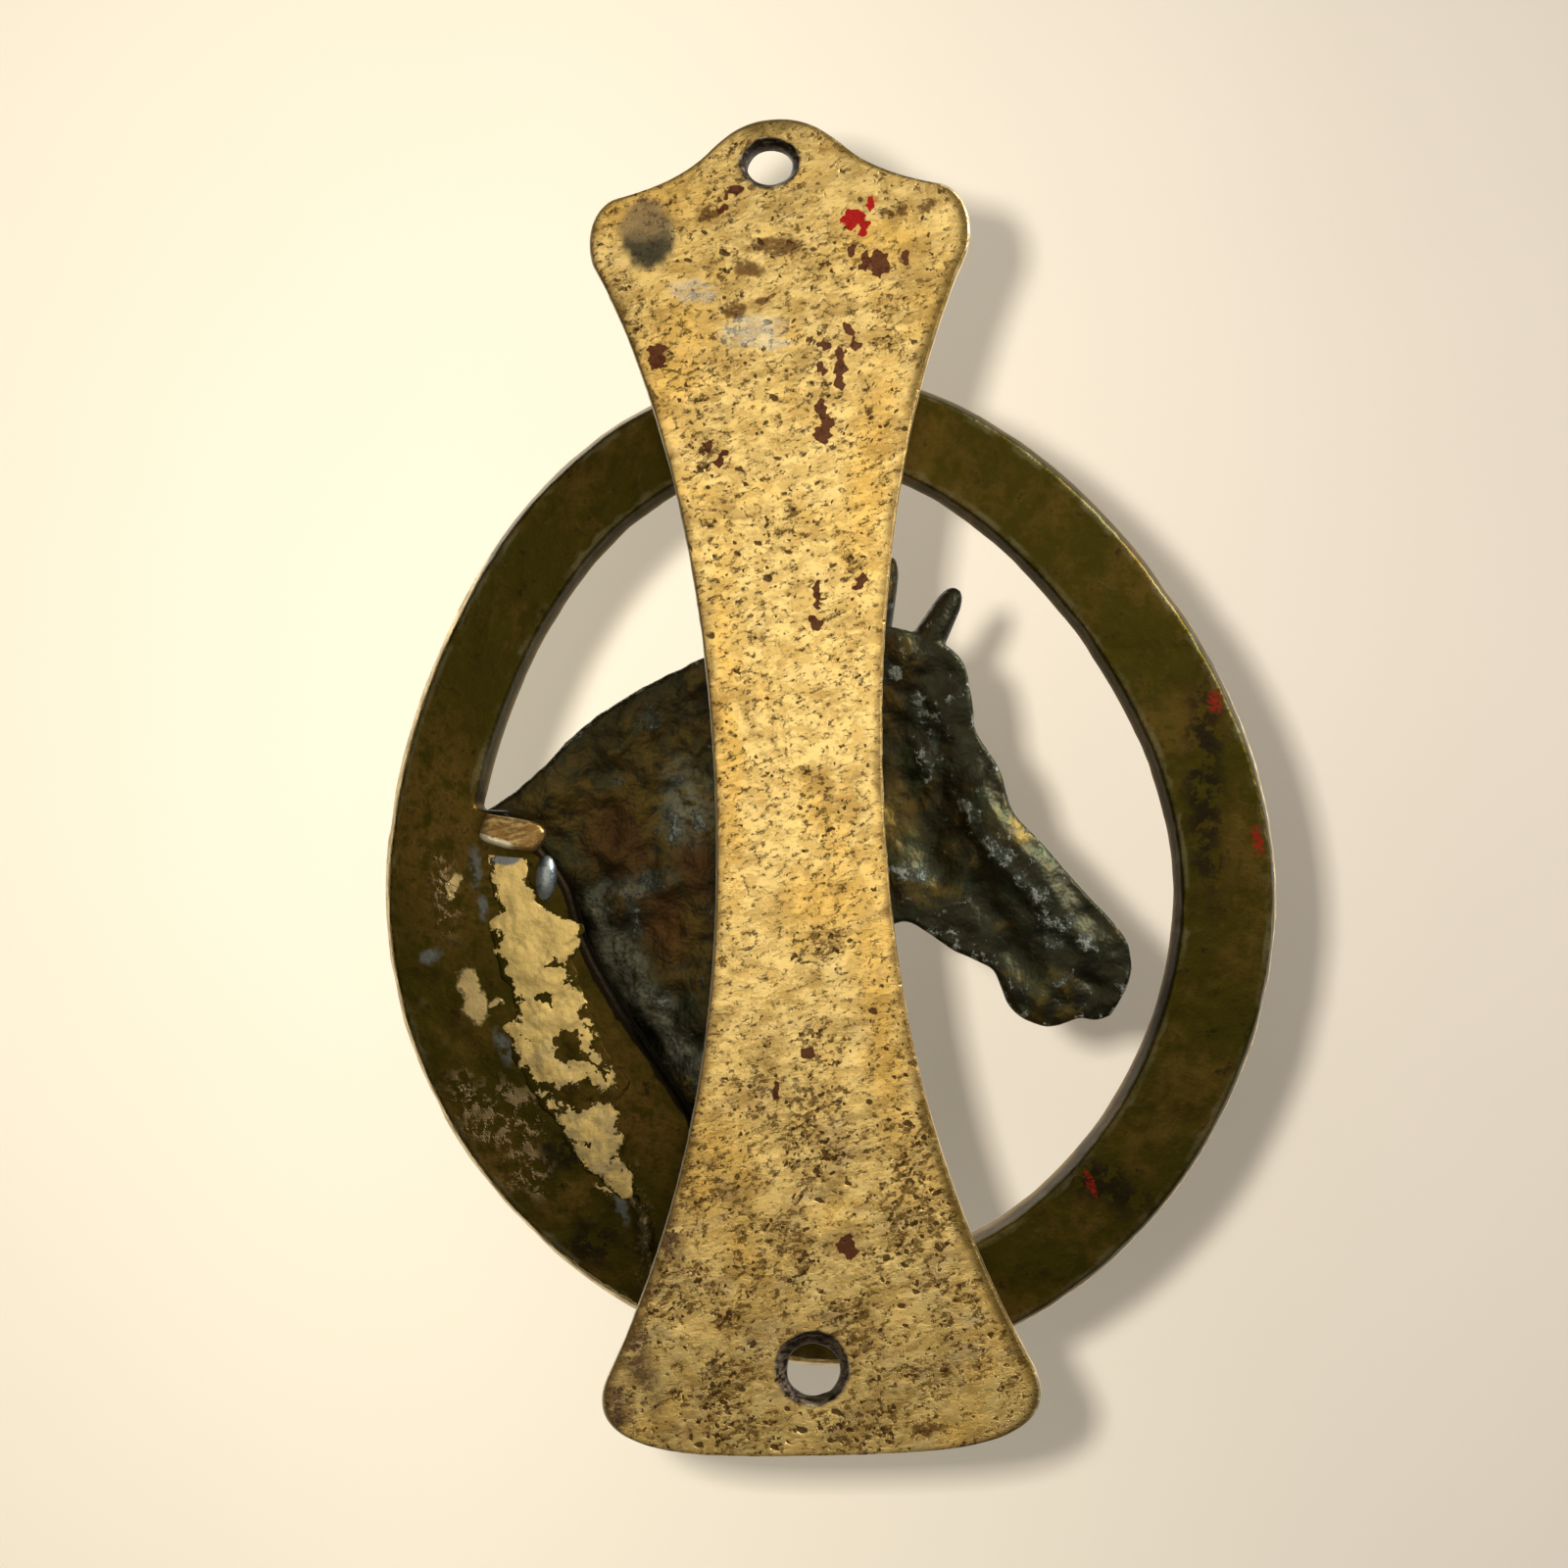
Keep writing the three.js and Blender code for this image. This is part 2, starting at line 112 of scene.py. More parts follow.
# Horse's head: points along the crest, forehead and nose, and along the throat, jaw and lips
HEAD_RIM_Y = -12.6
HEAD_UPPER = [
    (39.4, -5.0), (34.2, -0.9), (27.2, 6.6), (20.0, 11.7), (11.1, 15.8), (2.3, 18.4), (-5.8, 19.5),
    (-13.1, 18.6), (-19.6, 16.2), (-22.6, 13.2), (-23.6, 8.3), (-24.0, 4.0), (-27.0, -1.5),
    (-28.6, -7.1), (-32.5, -11.8), (-37.5, -18.0), (-41.2, -22.2), (-43.4, -25.4), (-43.9, -28.5),
    (-43.2, -31.4),
]
HEAD_LOWER = [
    (3.0, -66.2), (1.5, -56), (-0.5, -47), (-3.0, -38.5), (-6.0, -31), (-8.8, -25.6),
    (-11.3, -22.3), (-13.8, -21.8), (-16.5, -23.4), (-19.6, -25.7), (-23.0, -27.4), (-25.1, -28.7),
    (-26.1, -31.0), (-27.0, -33.4), (-28.6, -35.2), (-30.8, -36.3), (-33.4, -36.6), (-36.6, -35.7),
    (-38.8, -35.9), (-40.9, -35.3),
]
NECK_TURNS = (0.19, -1.48)
NECK_FADE = 0.3
NECK_SINK = -1.8

# Braze run: its edge on the ring's side and its edge on the horse's side, from top to foot
BRAZE_OUTER = [
    (43.2, -10.4), (42.6, -14.2), (42.2, -17.2), (42.9, -19.6), (42.5, -22.4), (41.7, -24.0),
    (41.8, -27.2), (40.0, -29.0), (39.7, -32.2), (41.6, -34.0), (40.6, -36.2), (39.3, -38.8),
    (37.7, -41.8), (37.4, -44.7), (35.2, -46.8), (33.3, -49.3), (31.0, -53.3), (29.2, -54.9),
    (25.6, -57.7),
]
BRAZE_INNER = [
    (37.2, -11.2), (37.3, -13.4), (36.6, -16.6), (35.1, -18.0), (31.8, -19.4), (30.5, -20.4),
    (30.4, -22.4), (31.6, -25.4), (31.2, -27.8), (29.7, -30.4), (28.2, -35.3), (26.6, -39.3),
    (25.0, -42.0), (25.4, -44.8), (25.2, -48.0), (25.3, -51.6), (24.6, -55.1), (24.4, -57.4),
]

# Tab: its outline, and how far its rows shrink at each height above the ring's rear
TAB_EDGE = [
    (42.7, -4.9), (39.1, -5.6), (36.2, -6.3), (34.9, -7.2), (34.8, -8.4), (36.2, -10.3),
    (39.0, -10.0), (41.6, -9.3), (43.5, -8.4), (43.7, -6.8), (42.7, -4.9),
]
TAB_LEVELS = [
    (1.0, -0.4), (1.0, 0.1), (0.99, 0.5), (0.94, 0.8), (0.86, 0.98), (0.7, 1.06), (0.45, 1.0),
    (0.2, 0.95),
]

# Middles of the solder bead and of the strike stud
BEAD_X = 34.9
BEAD_Z = -13.9
STUD_Z = -70.3


# ---- settings ----

def length(name, text, value, low=0.0):
    """A size that is shown in the sidebar, in metres."""
    return bpy.props.FloatProperty(name=name, description=text, default=value, min=low,
                                   unit="LENGTH", precision=5)


def colour(name, text, value):
    """A surface colour that is shown in the sidebar, in linear values."""
    return bpy.props.FloatVectorProperty(name=name, description=text, default=value, size=3,
                                         min=0.0, max=1.0, subtype="COLOR")


class PlateSettings(bpy.types.PropertyGroup):
    """Sizes and colours of the back plate, its pin and its stud."""

    pit_depth: length("Pit depth", "Depth of the deepest casting pits", 0.00009)
    wobble: length("Edge wobble", "How far the worn outline strays", 0.00012)
    pale: colour("Pale brass", "Rubbed brass", (0.82, 0.585, 0.205))
    warm: colour("Warm brass", "Golden brass where less is rubbed away", (0.78, 0.46, 0.090))
    grey: colour("Dull brass", "Brass under a dull film", (0.47, 0.35, 0.17))
    pit: colour("Pit brown", "Grime in the pits", (0.070, 0.030, 0.008))
    paint: colour("Old paint", "Flecks of red paint", (0.36, 0.010, 0.006))


class RingSettings(bpy.types.PropertyGroup):
    """Sizes and colours of the ring."""

    voxel: length("Cell", "Cell size of the blended mesh", 0.0004, 0.0002)
    lumps: length("Lumps", "Height of the uneven casting", 0.00016)
    olive: colour("Olive patina", "Green-brown patina", (0.036, 0.027, 0.0020))
    brown: colour("Brown patina", "Redder patina", (0.088, 0.050, 0.0085))
    # Also the colour of the painted highlight round the rim
    edge: colour("Bright edge", "Brass where the rim is rubbed bright", (0.72, 0.58, 0.30))
    front: colour("Front brass", "Brass of the rubbed front", (0.42, 0.27, 0.075))


class HeadSettings(bpy.types.PropertyGroup):
    """Sizes and colours of the horse's head."""

    voxel: length("Cell", "Cell size of the blended mesh", 0.00034, 0.0002)
    lumps: length("Lumps", "Height of the lumps on the hollow back", 0.0005)
    dark: colour("Dark patina", "Green-black patina", (0.022, 0.020, 0.010))
    brown: colour("Brown patina", "Olive-brown patina on the neck", (0.085, 0.054, 0.010))
    # Also the colour of the painted highlights on the back's lumps
    bloom_and_highlight: colour("Grey bloom", "Grey bloom on raised spots", (0.22, 0.225, 0.18))


class BrazeSettings(bpy.types.PropertyGroup):
    """Sizes and colours of the brazing and the solder."""

    height: length("Height", "How far the filler stands on the web", 0.00055)
    filler: colour("Filler", "Pale brazing brass", (0.66, 0.47, 0.155))
    solder: colour("Solder", "Grey solder", (0.26, 0.28, 0.25))


class StageSettings(bpy.types.PropertyGroup):
    """The backdrop, the lights and the camera."""

    lens: bpy.props.FloatProperty(name="Lens", description="Focal length", default=48.2, min=10.0,
                                  unit="CAMERA")
    backdrop: length("Backdrop", "Distance of the backdrop in front of the knocker", 0.16)
    paper: colour("Backdrop", "Cream backdrop", (0.90, 0.84, 0.70))
    sky: colour("Surround", "Light from all round", (1.0, 0.95, 0.86))


# ---- meshes ----

def grid_faces(rows, columns, closed_rows=False):
    """Quads between neighbouring rows, each row of `columns` points being a closed loop."""
    r = np.arange(rows if closed_rows else rows - 1)
    r, c = np.meshgrid(r, np.arange(columns), indexing="ij")
    below, beside = (r + 1) % rows, (c + 1) % columns
    quads = [r * columns + c, below * columns + c, below * columns + beside, r * columns + beside]
    return np.stack(quads, axis=-1).reshape(-1, 4)


def surface(name, rows, closed_rows=False, drawn_in=True):
    """A closed mesh from an array of closed loops (rows, columns, 3) in millimetres. The end loops
    are drawn in to their own middles unless they are folded shut, points that coincide are merged,
    and faces turn outwards."""
    if drawn_in and not closed_rows:
        first, last = rows[:1].mean(axis=1, keepdims=True), rows[-1:].mean(axis=1, keepdims=True)
        ends = [np.repeat(end, rows.shape[1], axis=1) for end in (first, last)]
        rows = np.concatenate([ends[0], rows, ends[1]])
    faces = grid_faces(rows.shape[0], rows.shape[1], closed_rows)
    mesh = bpy.data.meshes.new(name)
    mesh.from_pydata((rows.reshape(-1, 3) * MM).tolist(), [], faces.tolist())
    return cleaned(piece(name, mesh))


def piece(name, mesh):
    """A linked object at the origin that holds the mesh."""
    thing = bpy.data.objects.new(name, mesh)
    bpy.context.scene.collection.objects.link(thing)
    return thing


def cleaned(thing):
    """Merges doubled points, drops flat faces and turns the faces outwards."""
    work = bmesh.new()
    work.from_mesh(thing.data)
    bmesh.ops.remove_doubles(work, verts=work.verts, dist=2e-6)
    bmesh.ops.dissolve_degenerate(work, edges=work.edges, dist=1e-7)
    bmesh.ops.recalc_face_normals(work, faces=work.faces)
    work.to_mesh(thing.data)
    work.free()
    return thing


def settled(thing):
    """Applies the object's modifiers to its mesh."""
    graph = bpy.context.evaluated_depsgraph_get()
    mesh = bpy.data.meshes.new_from_object(thing.evaluated_get(graph))
    thing.modifiers.clear()
    thing.data = mesh
    return thing


def combined(thing, others, operation):
    """Joins to, or cuts from, a closed piece the other closed shapes, which are used up."""
    for other in others:
        cut = thing.modifiers.new(operation.lower(), "BOOLEAN")
        cut.object = other
        cut.operation = operation
        cut.solver = "MANIFOLD"
    settled(thing)
    for other in others:
        bpy.data.objects.remove(other)
    return thing


def blended(thing, others, cell, smoothing):
    """Joins overlapping closed shapes into one even mesh of square cells, lightly smoothed."""
    work = bmesh.new()
    for part in [thing, *others]:
        work.from_mesh(part.data)
    work.to_mesh(thing.data)
    work.free()
    for other in others:
        bpy.data.objects.remove(other)
    remesh = thing.modifiers.new("cells", "REMESH")
    remesh.mode = "VOXEL"
    remesh.voxel_size = cell
    smooth = thing.modifiers.new("smooth", "SMOOTH")
    smooth.factor = 0.5
    smooth.iterations = smoothing
    return settled(thing)


def points_of(mesh):
    """The mesh's points in millimetres, as an array."""
    flat = np.empty(len(mesh.vertices) * 3, np.float32)
    mesh.vertices.foreach_get("co", flat)
    return flat.reshape(-1, 3).astype(float) / MM


def normals_of(mesh):
    """The outward direction at each point."""
    flat = np.empty(len(mesh.vertices) * 3, np.float32)
    mesh.vertex_normals.foreach_get("vector", flat)
    return flat.reshape(-1, 3).astype(float)


def place_points(mesh, points):
    """Puts the mesh's points where the array says, in millimetres."""
    mesh.vertices.foreach_set("co", (points * MM).astype(np.float32).ravel())
    mesh.update()


def write_attribute(mesh, name, values):
    """Stores one number for each point, for the materials to read."""
    layer = mesh.attributes.new(name, "FLOAT", "POINT")
    layer.data.foreach_set("value", np.asarray(values, np.float32))


LONG_EDGE = 1.6
SLIVER = 4


def proudness(mesh, rounds=14):
    """How far each point stands above its surroundings, in millimetres: its offset along the normal
    from where repeated averaging with its neighbours would bring it. Long edges don't count, and
    the ends of the slivers that a cut leaves on a flat face stand at 0."""
    edges = np.empty(len(mesh.edges) * 2, np.int32)
    mesh.edges.foreach_get("vertices", edges)
    points = points_of(mesh)
    near, far = edges.reshape(-1, 2).T
    length = np.linalg.norm(points[near] - points[far], axis=1)
    slivers = length > SLIVER
    ends = np.concatenate([near[slivers], far[slivers]])
    near, far = near[length < LONG_EDGE], far[length < LONG_EDGE]
    start = np.concatenate([near, far])
    end = np.concatenate([far, near])
    count = np.bincount(start, minlength=len(points))[:, None]
    soft = points.copy()
    for _ in range(rounds):
        total = [np.bincount(start, weights=soft[end, axis], minlength=len(points))
                 for axis in range(3)]
        soft = np.where(count > 0, np.stack(total, axis=1) / np.maximum(count, 1), points)
    height = np.sum((points - soft) * normals_of(mesh), axis=1)
    height[ends] = 0
    return height


def dressed(thing, node, body, material):
    """Smooth-shades a finished piece, gives it its finish and puts it in its CAD node's place."""
    thing.data.polygons.foreach_set("use_smooth", np.ones(len(thing.data.polygons), bool))
    thing.data.materials.clear()
    thing.data.materials.append(material)
    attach(thing, body)
    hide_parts(node)


# ---- curves and noise ----

def eased(value, low, high):
    """0 below `low`, 1 above `high`, and 3t² - 2t³ between."""
    t = np.clip((value - low) / (high - low), 0, 1)
    return t * t * (3 - 2 * t)


def xyz(x, y, z):
    """Points (..., 3) from their three coordinates, each an array or a number."""
    return np.stack(np.broadcast_arrays(x, y, z), axis=-1)


def once_round(count):
    """`count` even steps of a full turn, in radians."""
    return np.linspace(0, 2 * np.pi, count, endpoint=False)


def through(points, at):
    """The Catmull-Rom curve through the points, at the shares `at` of its way."""
    points = np.asarray(points, float)
    last = len(points) - 1
    step = np.clip(np.asarray(at, float), 0, 1) * last
    i = np.minimum(step.astype(int), last)
    t = (step - i)[..., None]
    p0, p1 = points[np.maximum(i - 1, 0)], points[i]
    p2, p3 = points[np.minimum(i + 1, last)], points[np.minimum(i + 2, last)]
    v0, v1 = (p2 - p0) / 2, (p3 - p1) / 2
    return (2 * p1 - 2 * p2 + v0 + v1) * t**3 + (3 * p2 - 3 * p1 - 2 * v0 - v1) * t**2 + v0 * t + p1


def even_steps(line, count):
    """The same line with `count` points at even steps of its length."""
    run = np.concatenate([[0], np.cumsum(np.linalg.norm(np.diff(line, axis=0), axis=1))])
    at = np.linspace(0, run[-1], count)
    return np.stack([np.interp(at, run, line[:, axis]) for axis in range(line.shape[1])], axis=1)


CELL_PRIMES = (73856093, 19349663, 83492791)
SEED_STEP = 26544357


def scattered(cells, seed):
    """A repeatable random number from 0 to 1 for each whole-number cell (..., 3)."""
    x, y, z = (cells[..., axis] * prime for axis, prime in enumerate(CELL_PRIMES))
    mixed = x ^ y ^ z ^ seed * SEED_STEP
    mixed = (mixed ^ (mixed >> 13)) * 1274126177
    return ((mixed ^ (mixed >> 16)) & 0xFFFF) / 65535


def unevenness(points, size, seed, octaves=1):
    """Smooth noise from -1 to 1: random numbers on a cubic lattice `size` apart, blended by
    3t² - 2t³. Each further octave is half the size and half the height."""
    total = np.zeros(points.shape[:-1])
    for octave in range(octaves):
        spot = points / size * 2**octave
        cell = np.floor(spot).astype(np.int64)
        t = spot - cell
        t = t * t * (3 - 2 * t)
        for corner in np.ndindex(2, 2, 2):
            share = np.prod(np.where(corner, t, 1 - t), axis=-1)
            total += share * (2 * scattered(cell + corner, seed + octave) - 1) / 2**octave
    return total


def hill(x, z, centre, half, lean=0.0):
    """A smooth hill of height 1: exp(-(u/a)² - (v/b)²) about its centre, u lying `lean` radians
    from +X towards +Z."""
    dx, dz = x - centre[0], z - centre[1]
    u = dx * math.cos(lean) + dz * math.sin(lean)
    v = dz * math.cos(lean) - dx * math.sin(lean)
    return np.exp(-((u / half[0]) ** 2) - (v / half[1]) ** 2)


def ridge(x, z, start, end, half):
    """A smooth ridge of height 1 along a straight line, falling off as exp(-(d/half)²)."""
    along = np.subtract(end, start)
    onto = (x - start[0]) * along[0] + (z - start[1]) * along[1]
    reach = np.clip(onto / np.dot(along, along), 0, 1)
    d2 = (x - start[0] - reach * along[0]) ** 2 + (z - start[1] - reach * along[1]) ** 2
    return np.exp(-d2 / half**2)


def turned(name, profile, sides, axis="Y", offset=(0, 0, 0), wobble=0.0, seed=1):
    """A turned piece: `profile` holds (radius, place on the axis), carried once round the axis. The
    radius strays by `wobble` with the direction and the place."""
    profile = np.asarray(profile, float)
    turn = once_round(sides)[None, :]
    r, y = profile[:, :1], profile[:, 1:]
    rows = xyz(r * np.cos(turn), y, r * np.sin(turn))
    stray = 1 + wobble * unevenness(rows, 2.2, seed, 2)
    rows[..., 0] *= stray
    rows[..., 2] *= stray
    if axis == "X":
        rows = rows[..., [1, 0, 2]]
    return surface(name, rows + np.asarray(offset))


def pitting(points, spacing, seed):
    """Depth from 0 to 1 of scattered angular pits: each cell of a grid `spacing` wide holds a pit
    of its own size at its own place, and a pit is a cone on the larger of |dx|·0.8 and |dz|·1.3."""
    flat = points[..., [0, 2]] / spacing
    home = np.floor(flat).astype(np.int64)
    depth = np.zeros(points.shape[:-1])
    for step in np.ndindex(3, 3):
        cell = home + np.array(step) - 1
        key = xyz(cell[..., 0], cell[..., 1], 0)
        middle = cell + np.stack([scattered(key, seed), scattered(key, seed + 7)], axis=-1)
        reach = 0.12 + 0.42 * scattered(key, seed + 13) ** 3
        away = np.abs(flat - middle) * (0.8, 1.3)
        away = np.maximum(away[..., 0], away[..., 1]) + 0.3 * away.sum(axis=-1)
        pit = np.clip(1.4 * (1 - away / reach), 0, 1) * scattered(key, seed + 19)
        depth = np.maximum(depth, pit)
    return depth


# ---- shader maths ----

def arithmetic(operation, reflected=False):
    """A method that adds the operation's node for a wire and another value, in either order."""
    def method(wire, other):
        first, second = (other, wire) if reflected else (wire, other)
        return wire.sheet.maths(operation, first, second)
    return method


class Wire:
    """One socket of a material, so that shader maths is written as Python arithmetic."""

    __add__, __radd__ = arithmetic("ADD"), arithmetic("ADD", True)
    __sub__, __rsub__ = arithmetic("SUBTRACT"), arithmetic("SUBTRACT", True)
    __mul__, __rmul__ = arithmetic("MULTIPLY"), arithmetic("MULTIPLY", True)
    __truediv__ = arithmetic("DIVIDE")
    __or__ = arithmetic("MAXIMUM")
    __and__ = arithmetic("MINIMUM")

    def __init__(self, sheet, socket):
        self.sheet = sheet
        self.socket = socket


class Sheet:
    """A material's node tree. `place` is the point on the piece, in millimetres."""

    def __init__(self, name):
        self.material = bpy.data.materials.new(name)
        self.material.use_nodes = True
        self.tree = self.material.node_tree
        self.tree.nodes.clear()
        self.place = self.add("ShaderNodeTexCoord", output="Object") * 1000

    def add(self, kind, settings=None, inputs=None, output=0):
        """Adds a node: first its settings, then the value or link of each socket that is named."""
        node = self.tree.nodes.new(kind)
        for key, value in (settings or {}).items():
            setattr(node, key, value)
        for key, value in (inputs or {}).items():
            socket = node.inputs[key]
            if isinstance(value, Wire):
                self.tree.links.new(value.socket, socket)
            elif socket.type == "VALUE":
                socket.default_value = value
            else:
                several = [value] * 3 if isinstance(value, (int, float)) else list(value)
                socket.default_value = several + [1.0] if socket.type == "RGBA" else several
        return Wire(self, node.outputs[output])

    def maths(self, operation, first, second):
        """A Math node on numbers, or a Vector Math node where either side is a vector or colour."""
        plain = all(v.socket.type == "VALUE" if isinstance(v, Wire) else isinstance(v, (int, float))
                    for v in (first, second))
        kind = "ShaderNodeMath" if plain else "ShaderNodeVectorMath"
        return self.add(kind, {"operation": operation}, {0: first, 1: second})

    def attribute(self, name):
        """A number stored for each point of the mesh."""
        return self.add("ShaderNodeAttribute", {"attribute_name": name}, output="Fac")

    def axis(self, index):
        """One coordinate of the point, in millimetres."""
        return self.add("ShaderNodeSeparateXYZ", inputs={0: self.place}, output=index)

    def noise(self, size, detail=2, rough=0.5, place=None):
        """Smooth noise from 0 to 1 whose features are about `size` millimetres."""
        sockets = {"Vector": place or self.place, "Scale": 1 / size, "Detail": detail,
                   "Roughness": rough}
        return self.add("ShaderNodeTexNoise", inputs=sockets)

    def ease(self, value, low, high):
        """0 below `low`, 1 above `high`, and smooth between."""
        sockets = {0: value, 1: low, 2: high, 3: 0.0, 4: 1.0}
        return self.add("ShaderNodeMapRange", {"interpolation_type": "SMOOTHSTEP"}, sockets)

    def mix(self, first, second, share):
        """From one colour to another."""
        return self.add("ShaderNodeMix", {"data_type": "RGBA"}, {0: share, 6: first, 7: second}, 2)

    def frayed(self, size, amount):
        """The point, pushed about by noise, which gives what is drawn there a ragged edge."""
        push = self.add("ShaderNodeTexNoise", inputs={"Vector": self.place, "Scale": 1 / size,
                        "Detail": 3.0}, output="Color")
        return self.place + (push - 0.5) * (2 * amount)

    def flakes(self, size, place=None):
        """The middle of the nearest of many scattered points, so that what is drawn there has
        straight, chipped edges."""
        sockets = {"Vector": place or self.place, "Scale": 1 / size}
        return self.add("ShaderNodeTexVoronoi", inputs=sockets, output="Position")

    def stretched(self, scale, lean=0.0, place=None):
        """The point with its axes divided by `scale`, turned by `lean` about the Y axis."""
        sockets = {"Vector": place or self.place, "Rotation": (0, lean, 0), "Scale": scale}
        return self.add("ShaderNodeMapping", {"vector_type": "TEXTURE"}, sockets)

    def spot(self, centre, half, lean=0.0, soft=0.25, place=None):
        """1 inside an ellipse in X and Z, 0 outside, its edge `soft` of its size."""
        sockets = {"Vector": place or self.place, "Location": (centre[0], 0, centre[1]),
                   "Rotation": (0, lean, 0), "Scale": (half[0], 1000, half[1])}
        away = self.add("ShaderNodeMapping", {"vector_type": "TEXTURE"}, sockets)
        size = self.add("ShaderNodeVectorMath", {"operation": "LENGTH"}, {0: away}, "Value")
        return 1 - self.ease(size, 1 - soft, 1 + soft)

    def spots(self, marks, soft=0.25, place=None):
        """Several spots in one mask: each mark is x, z, its two half sizes and its lean."""
        masks = [self.spot((x, z), (a, b), lean, soft, place) for x, z, a, b, lean in marks]
        whole = masks[0]
        for mask in masks[1:]:
            whole = whole | mask
        return whole

    def metal(self, tint, rough, relief, metallic=1.0):
        """Finishes the material: a metal with a relief in millimetres."""
        bump = self.add("ShaderNodeBump", inputs={"Strength": 1.0, "Distance": MM, "Height": relief})
        sockets = {"Base Color": tint, "Roughness": rough, "Metallic": metallic, "Normal": bump}
        self.add_output(self.add("ShaderNodeBsdfPrincipled", inputs=sockets))
        return self.material

    def add_output(self, shader):
        """Links the finished shader to the material's surface."""
        node = self.tree.nodes.new("ShaderNodeOutputMaterial")
        self.tree.links.new(shader.socket, node.inputs["Surface"])


# ---- finishes ----

# Marks on the rear of the plate: x, z, half sizes and lean, in millimetres and radians
RED_PAINT = [
    (-9.8, 71.1, 1.7, 1.2, 0.3), (-12.0, 72.9, 1.0, 0.7, 0.5), (-11.1, 69.6, 0.6, 1.4, -0.1),
]
OLD_PAINT = [
    (-13.1, 64.9, 1.5, 1.7, 0.5), (-16.3, 65.4, 0.6, 1.1, 0.1), (-11.0, 65.3, 0.6, 1.5, 0.1),
    (-9.4, 66.9, 0.9, 0.5, 0.5), (-7.3, 51.5, 0.8, 3.2, -0.06), (-5.3, 54.7, 1.0, 0.5, -0.2),
    (-9.1, 55.9, 0.4, 1.8, 0.35), (-5.0, 51.4, 0.5, 1.2, 0.2), (-5.0, 45.2, 0.8, 3.2, 0.16),
    (-4.3, 42.9, 0.6, 1.4, 0.5), (-3.3, 22.4, 0.5, 1.8, 0.05), (-2.9, 18.4, 0.8, 1.2, 0.0),
    (16.5, 54.4, 1.3, 1.6, 0.4), (-4.2, -62.9, 1.3, 1.5, 0.1), (-9.0, 23.6, 0.6, 1.3, -0.6),
    (8.8, 40.6, 0.5, 1.2, -0.5), (10.0, 42.0, 0.7, 0.6, 0.2), (4.3, -42.0, 0.6, 1.5, 0.0),
    (0.0, -37.4, 0.8, 0.5, 0.5), (7.0, 73.0, 1.6, 0.3, 0.5), (5.8, 75.2, 1.8, 0.35, 0.45),
]
BROWN_MARKS = [
    (0.7, 67.9, 3.6, 1.3, -0.05), (4.3, 65.2, 2.2, 1.1, -0.3), (6.2, 59.8, 1.6, 1.2, 0.0),
    (9.0, 72.6, 1.6, 0.9, 0.4), (-14.0, 71.6, 0.8, 0.7, 0.0), (2.6, 60.6, 1.0, 0.7, 0.2),
    (-16.0, 71.8, 0.9, 0.8, 0.0), (-19.4, 72.2, 1.4, 0.7, 0.2), (-13.8, -87.1, 2.2, 0.6, 0.05),
]
PIT_CLUSTERS = [
    (-2.4, -23.5, 3.6, 3.0, 0.3), (-1.0, -35.0, 2.6, 3.0, 0.0), (-13.6, -52.0, 2.6, 4.0, 0.5),
    (9.6, 41.5, 2.2, 2.2, 0.4), (0.0, 32.0, 1.6, 2.0, -0.3), (-13.8, -87.1, 2.6, 0.7, 0.05),
    (-8.0, 26.0, 1.6, 2.4, 0.3), (0.0, -44.0, 5.0, 4.0, 0.2), (-14.0, -80.0, 5.0, 3.0, 0.1),
]
WHITE_SMEARS = [
    (11.4, 62.6, 3.0, 1.5, -0.1), (1.2, 55.2, 2.4, 0.8, -0.1), (4.0, 57.0, 4.0, 2.0, 0.1),
]
WARM_ZONES = [
    (-13.8, 67.6, 5.5, 3.2, 0.0), (13.2, -52.0, 5.0, 9.0, 0.3), (17.0, 74.0, 9.0, 3.5, 0.2),
    (-9.5, -33.0, 2.4, 17.0, 0.12), (9.0, 6.0, 1.6, 22.0, 0.0), (14.0, 55.0, 4.0, 12.0, -0.3),
    (-10.5, 38.0, 2.6, 14.0, -0.16), (-3.0, -18.0, 6.0, 4.0, 0.2),
]
TARNISH = [
    (20.0, -60.0, 1.5, 5.0, 0.42), (24.6, -75.6, 2.0, 8.5, 0.42), (27.2, -84.0, 2.2, 3.2, 0.0),
]


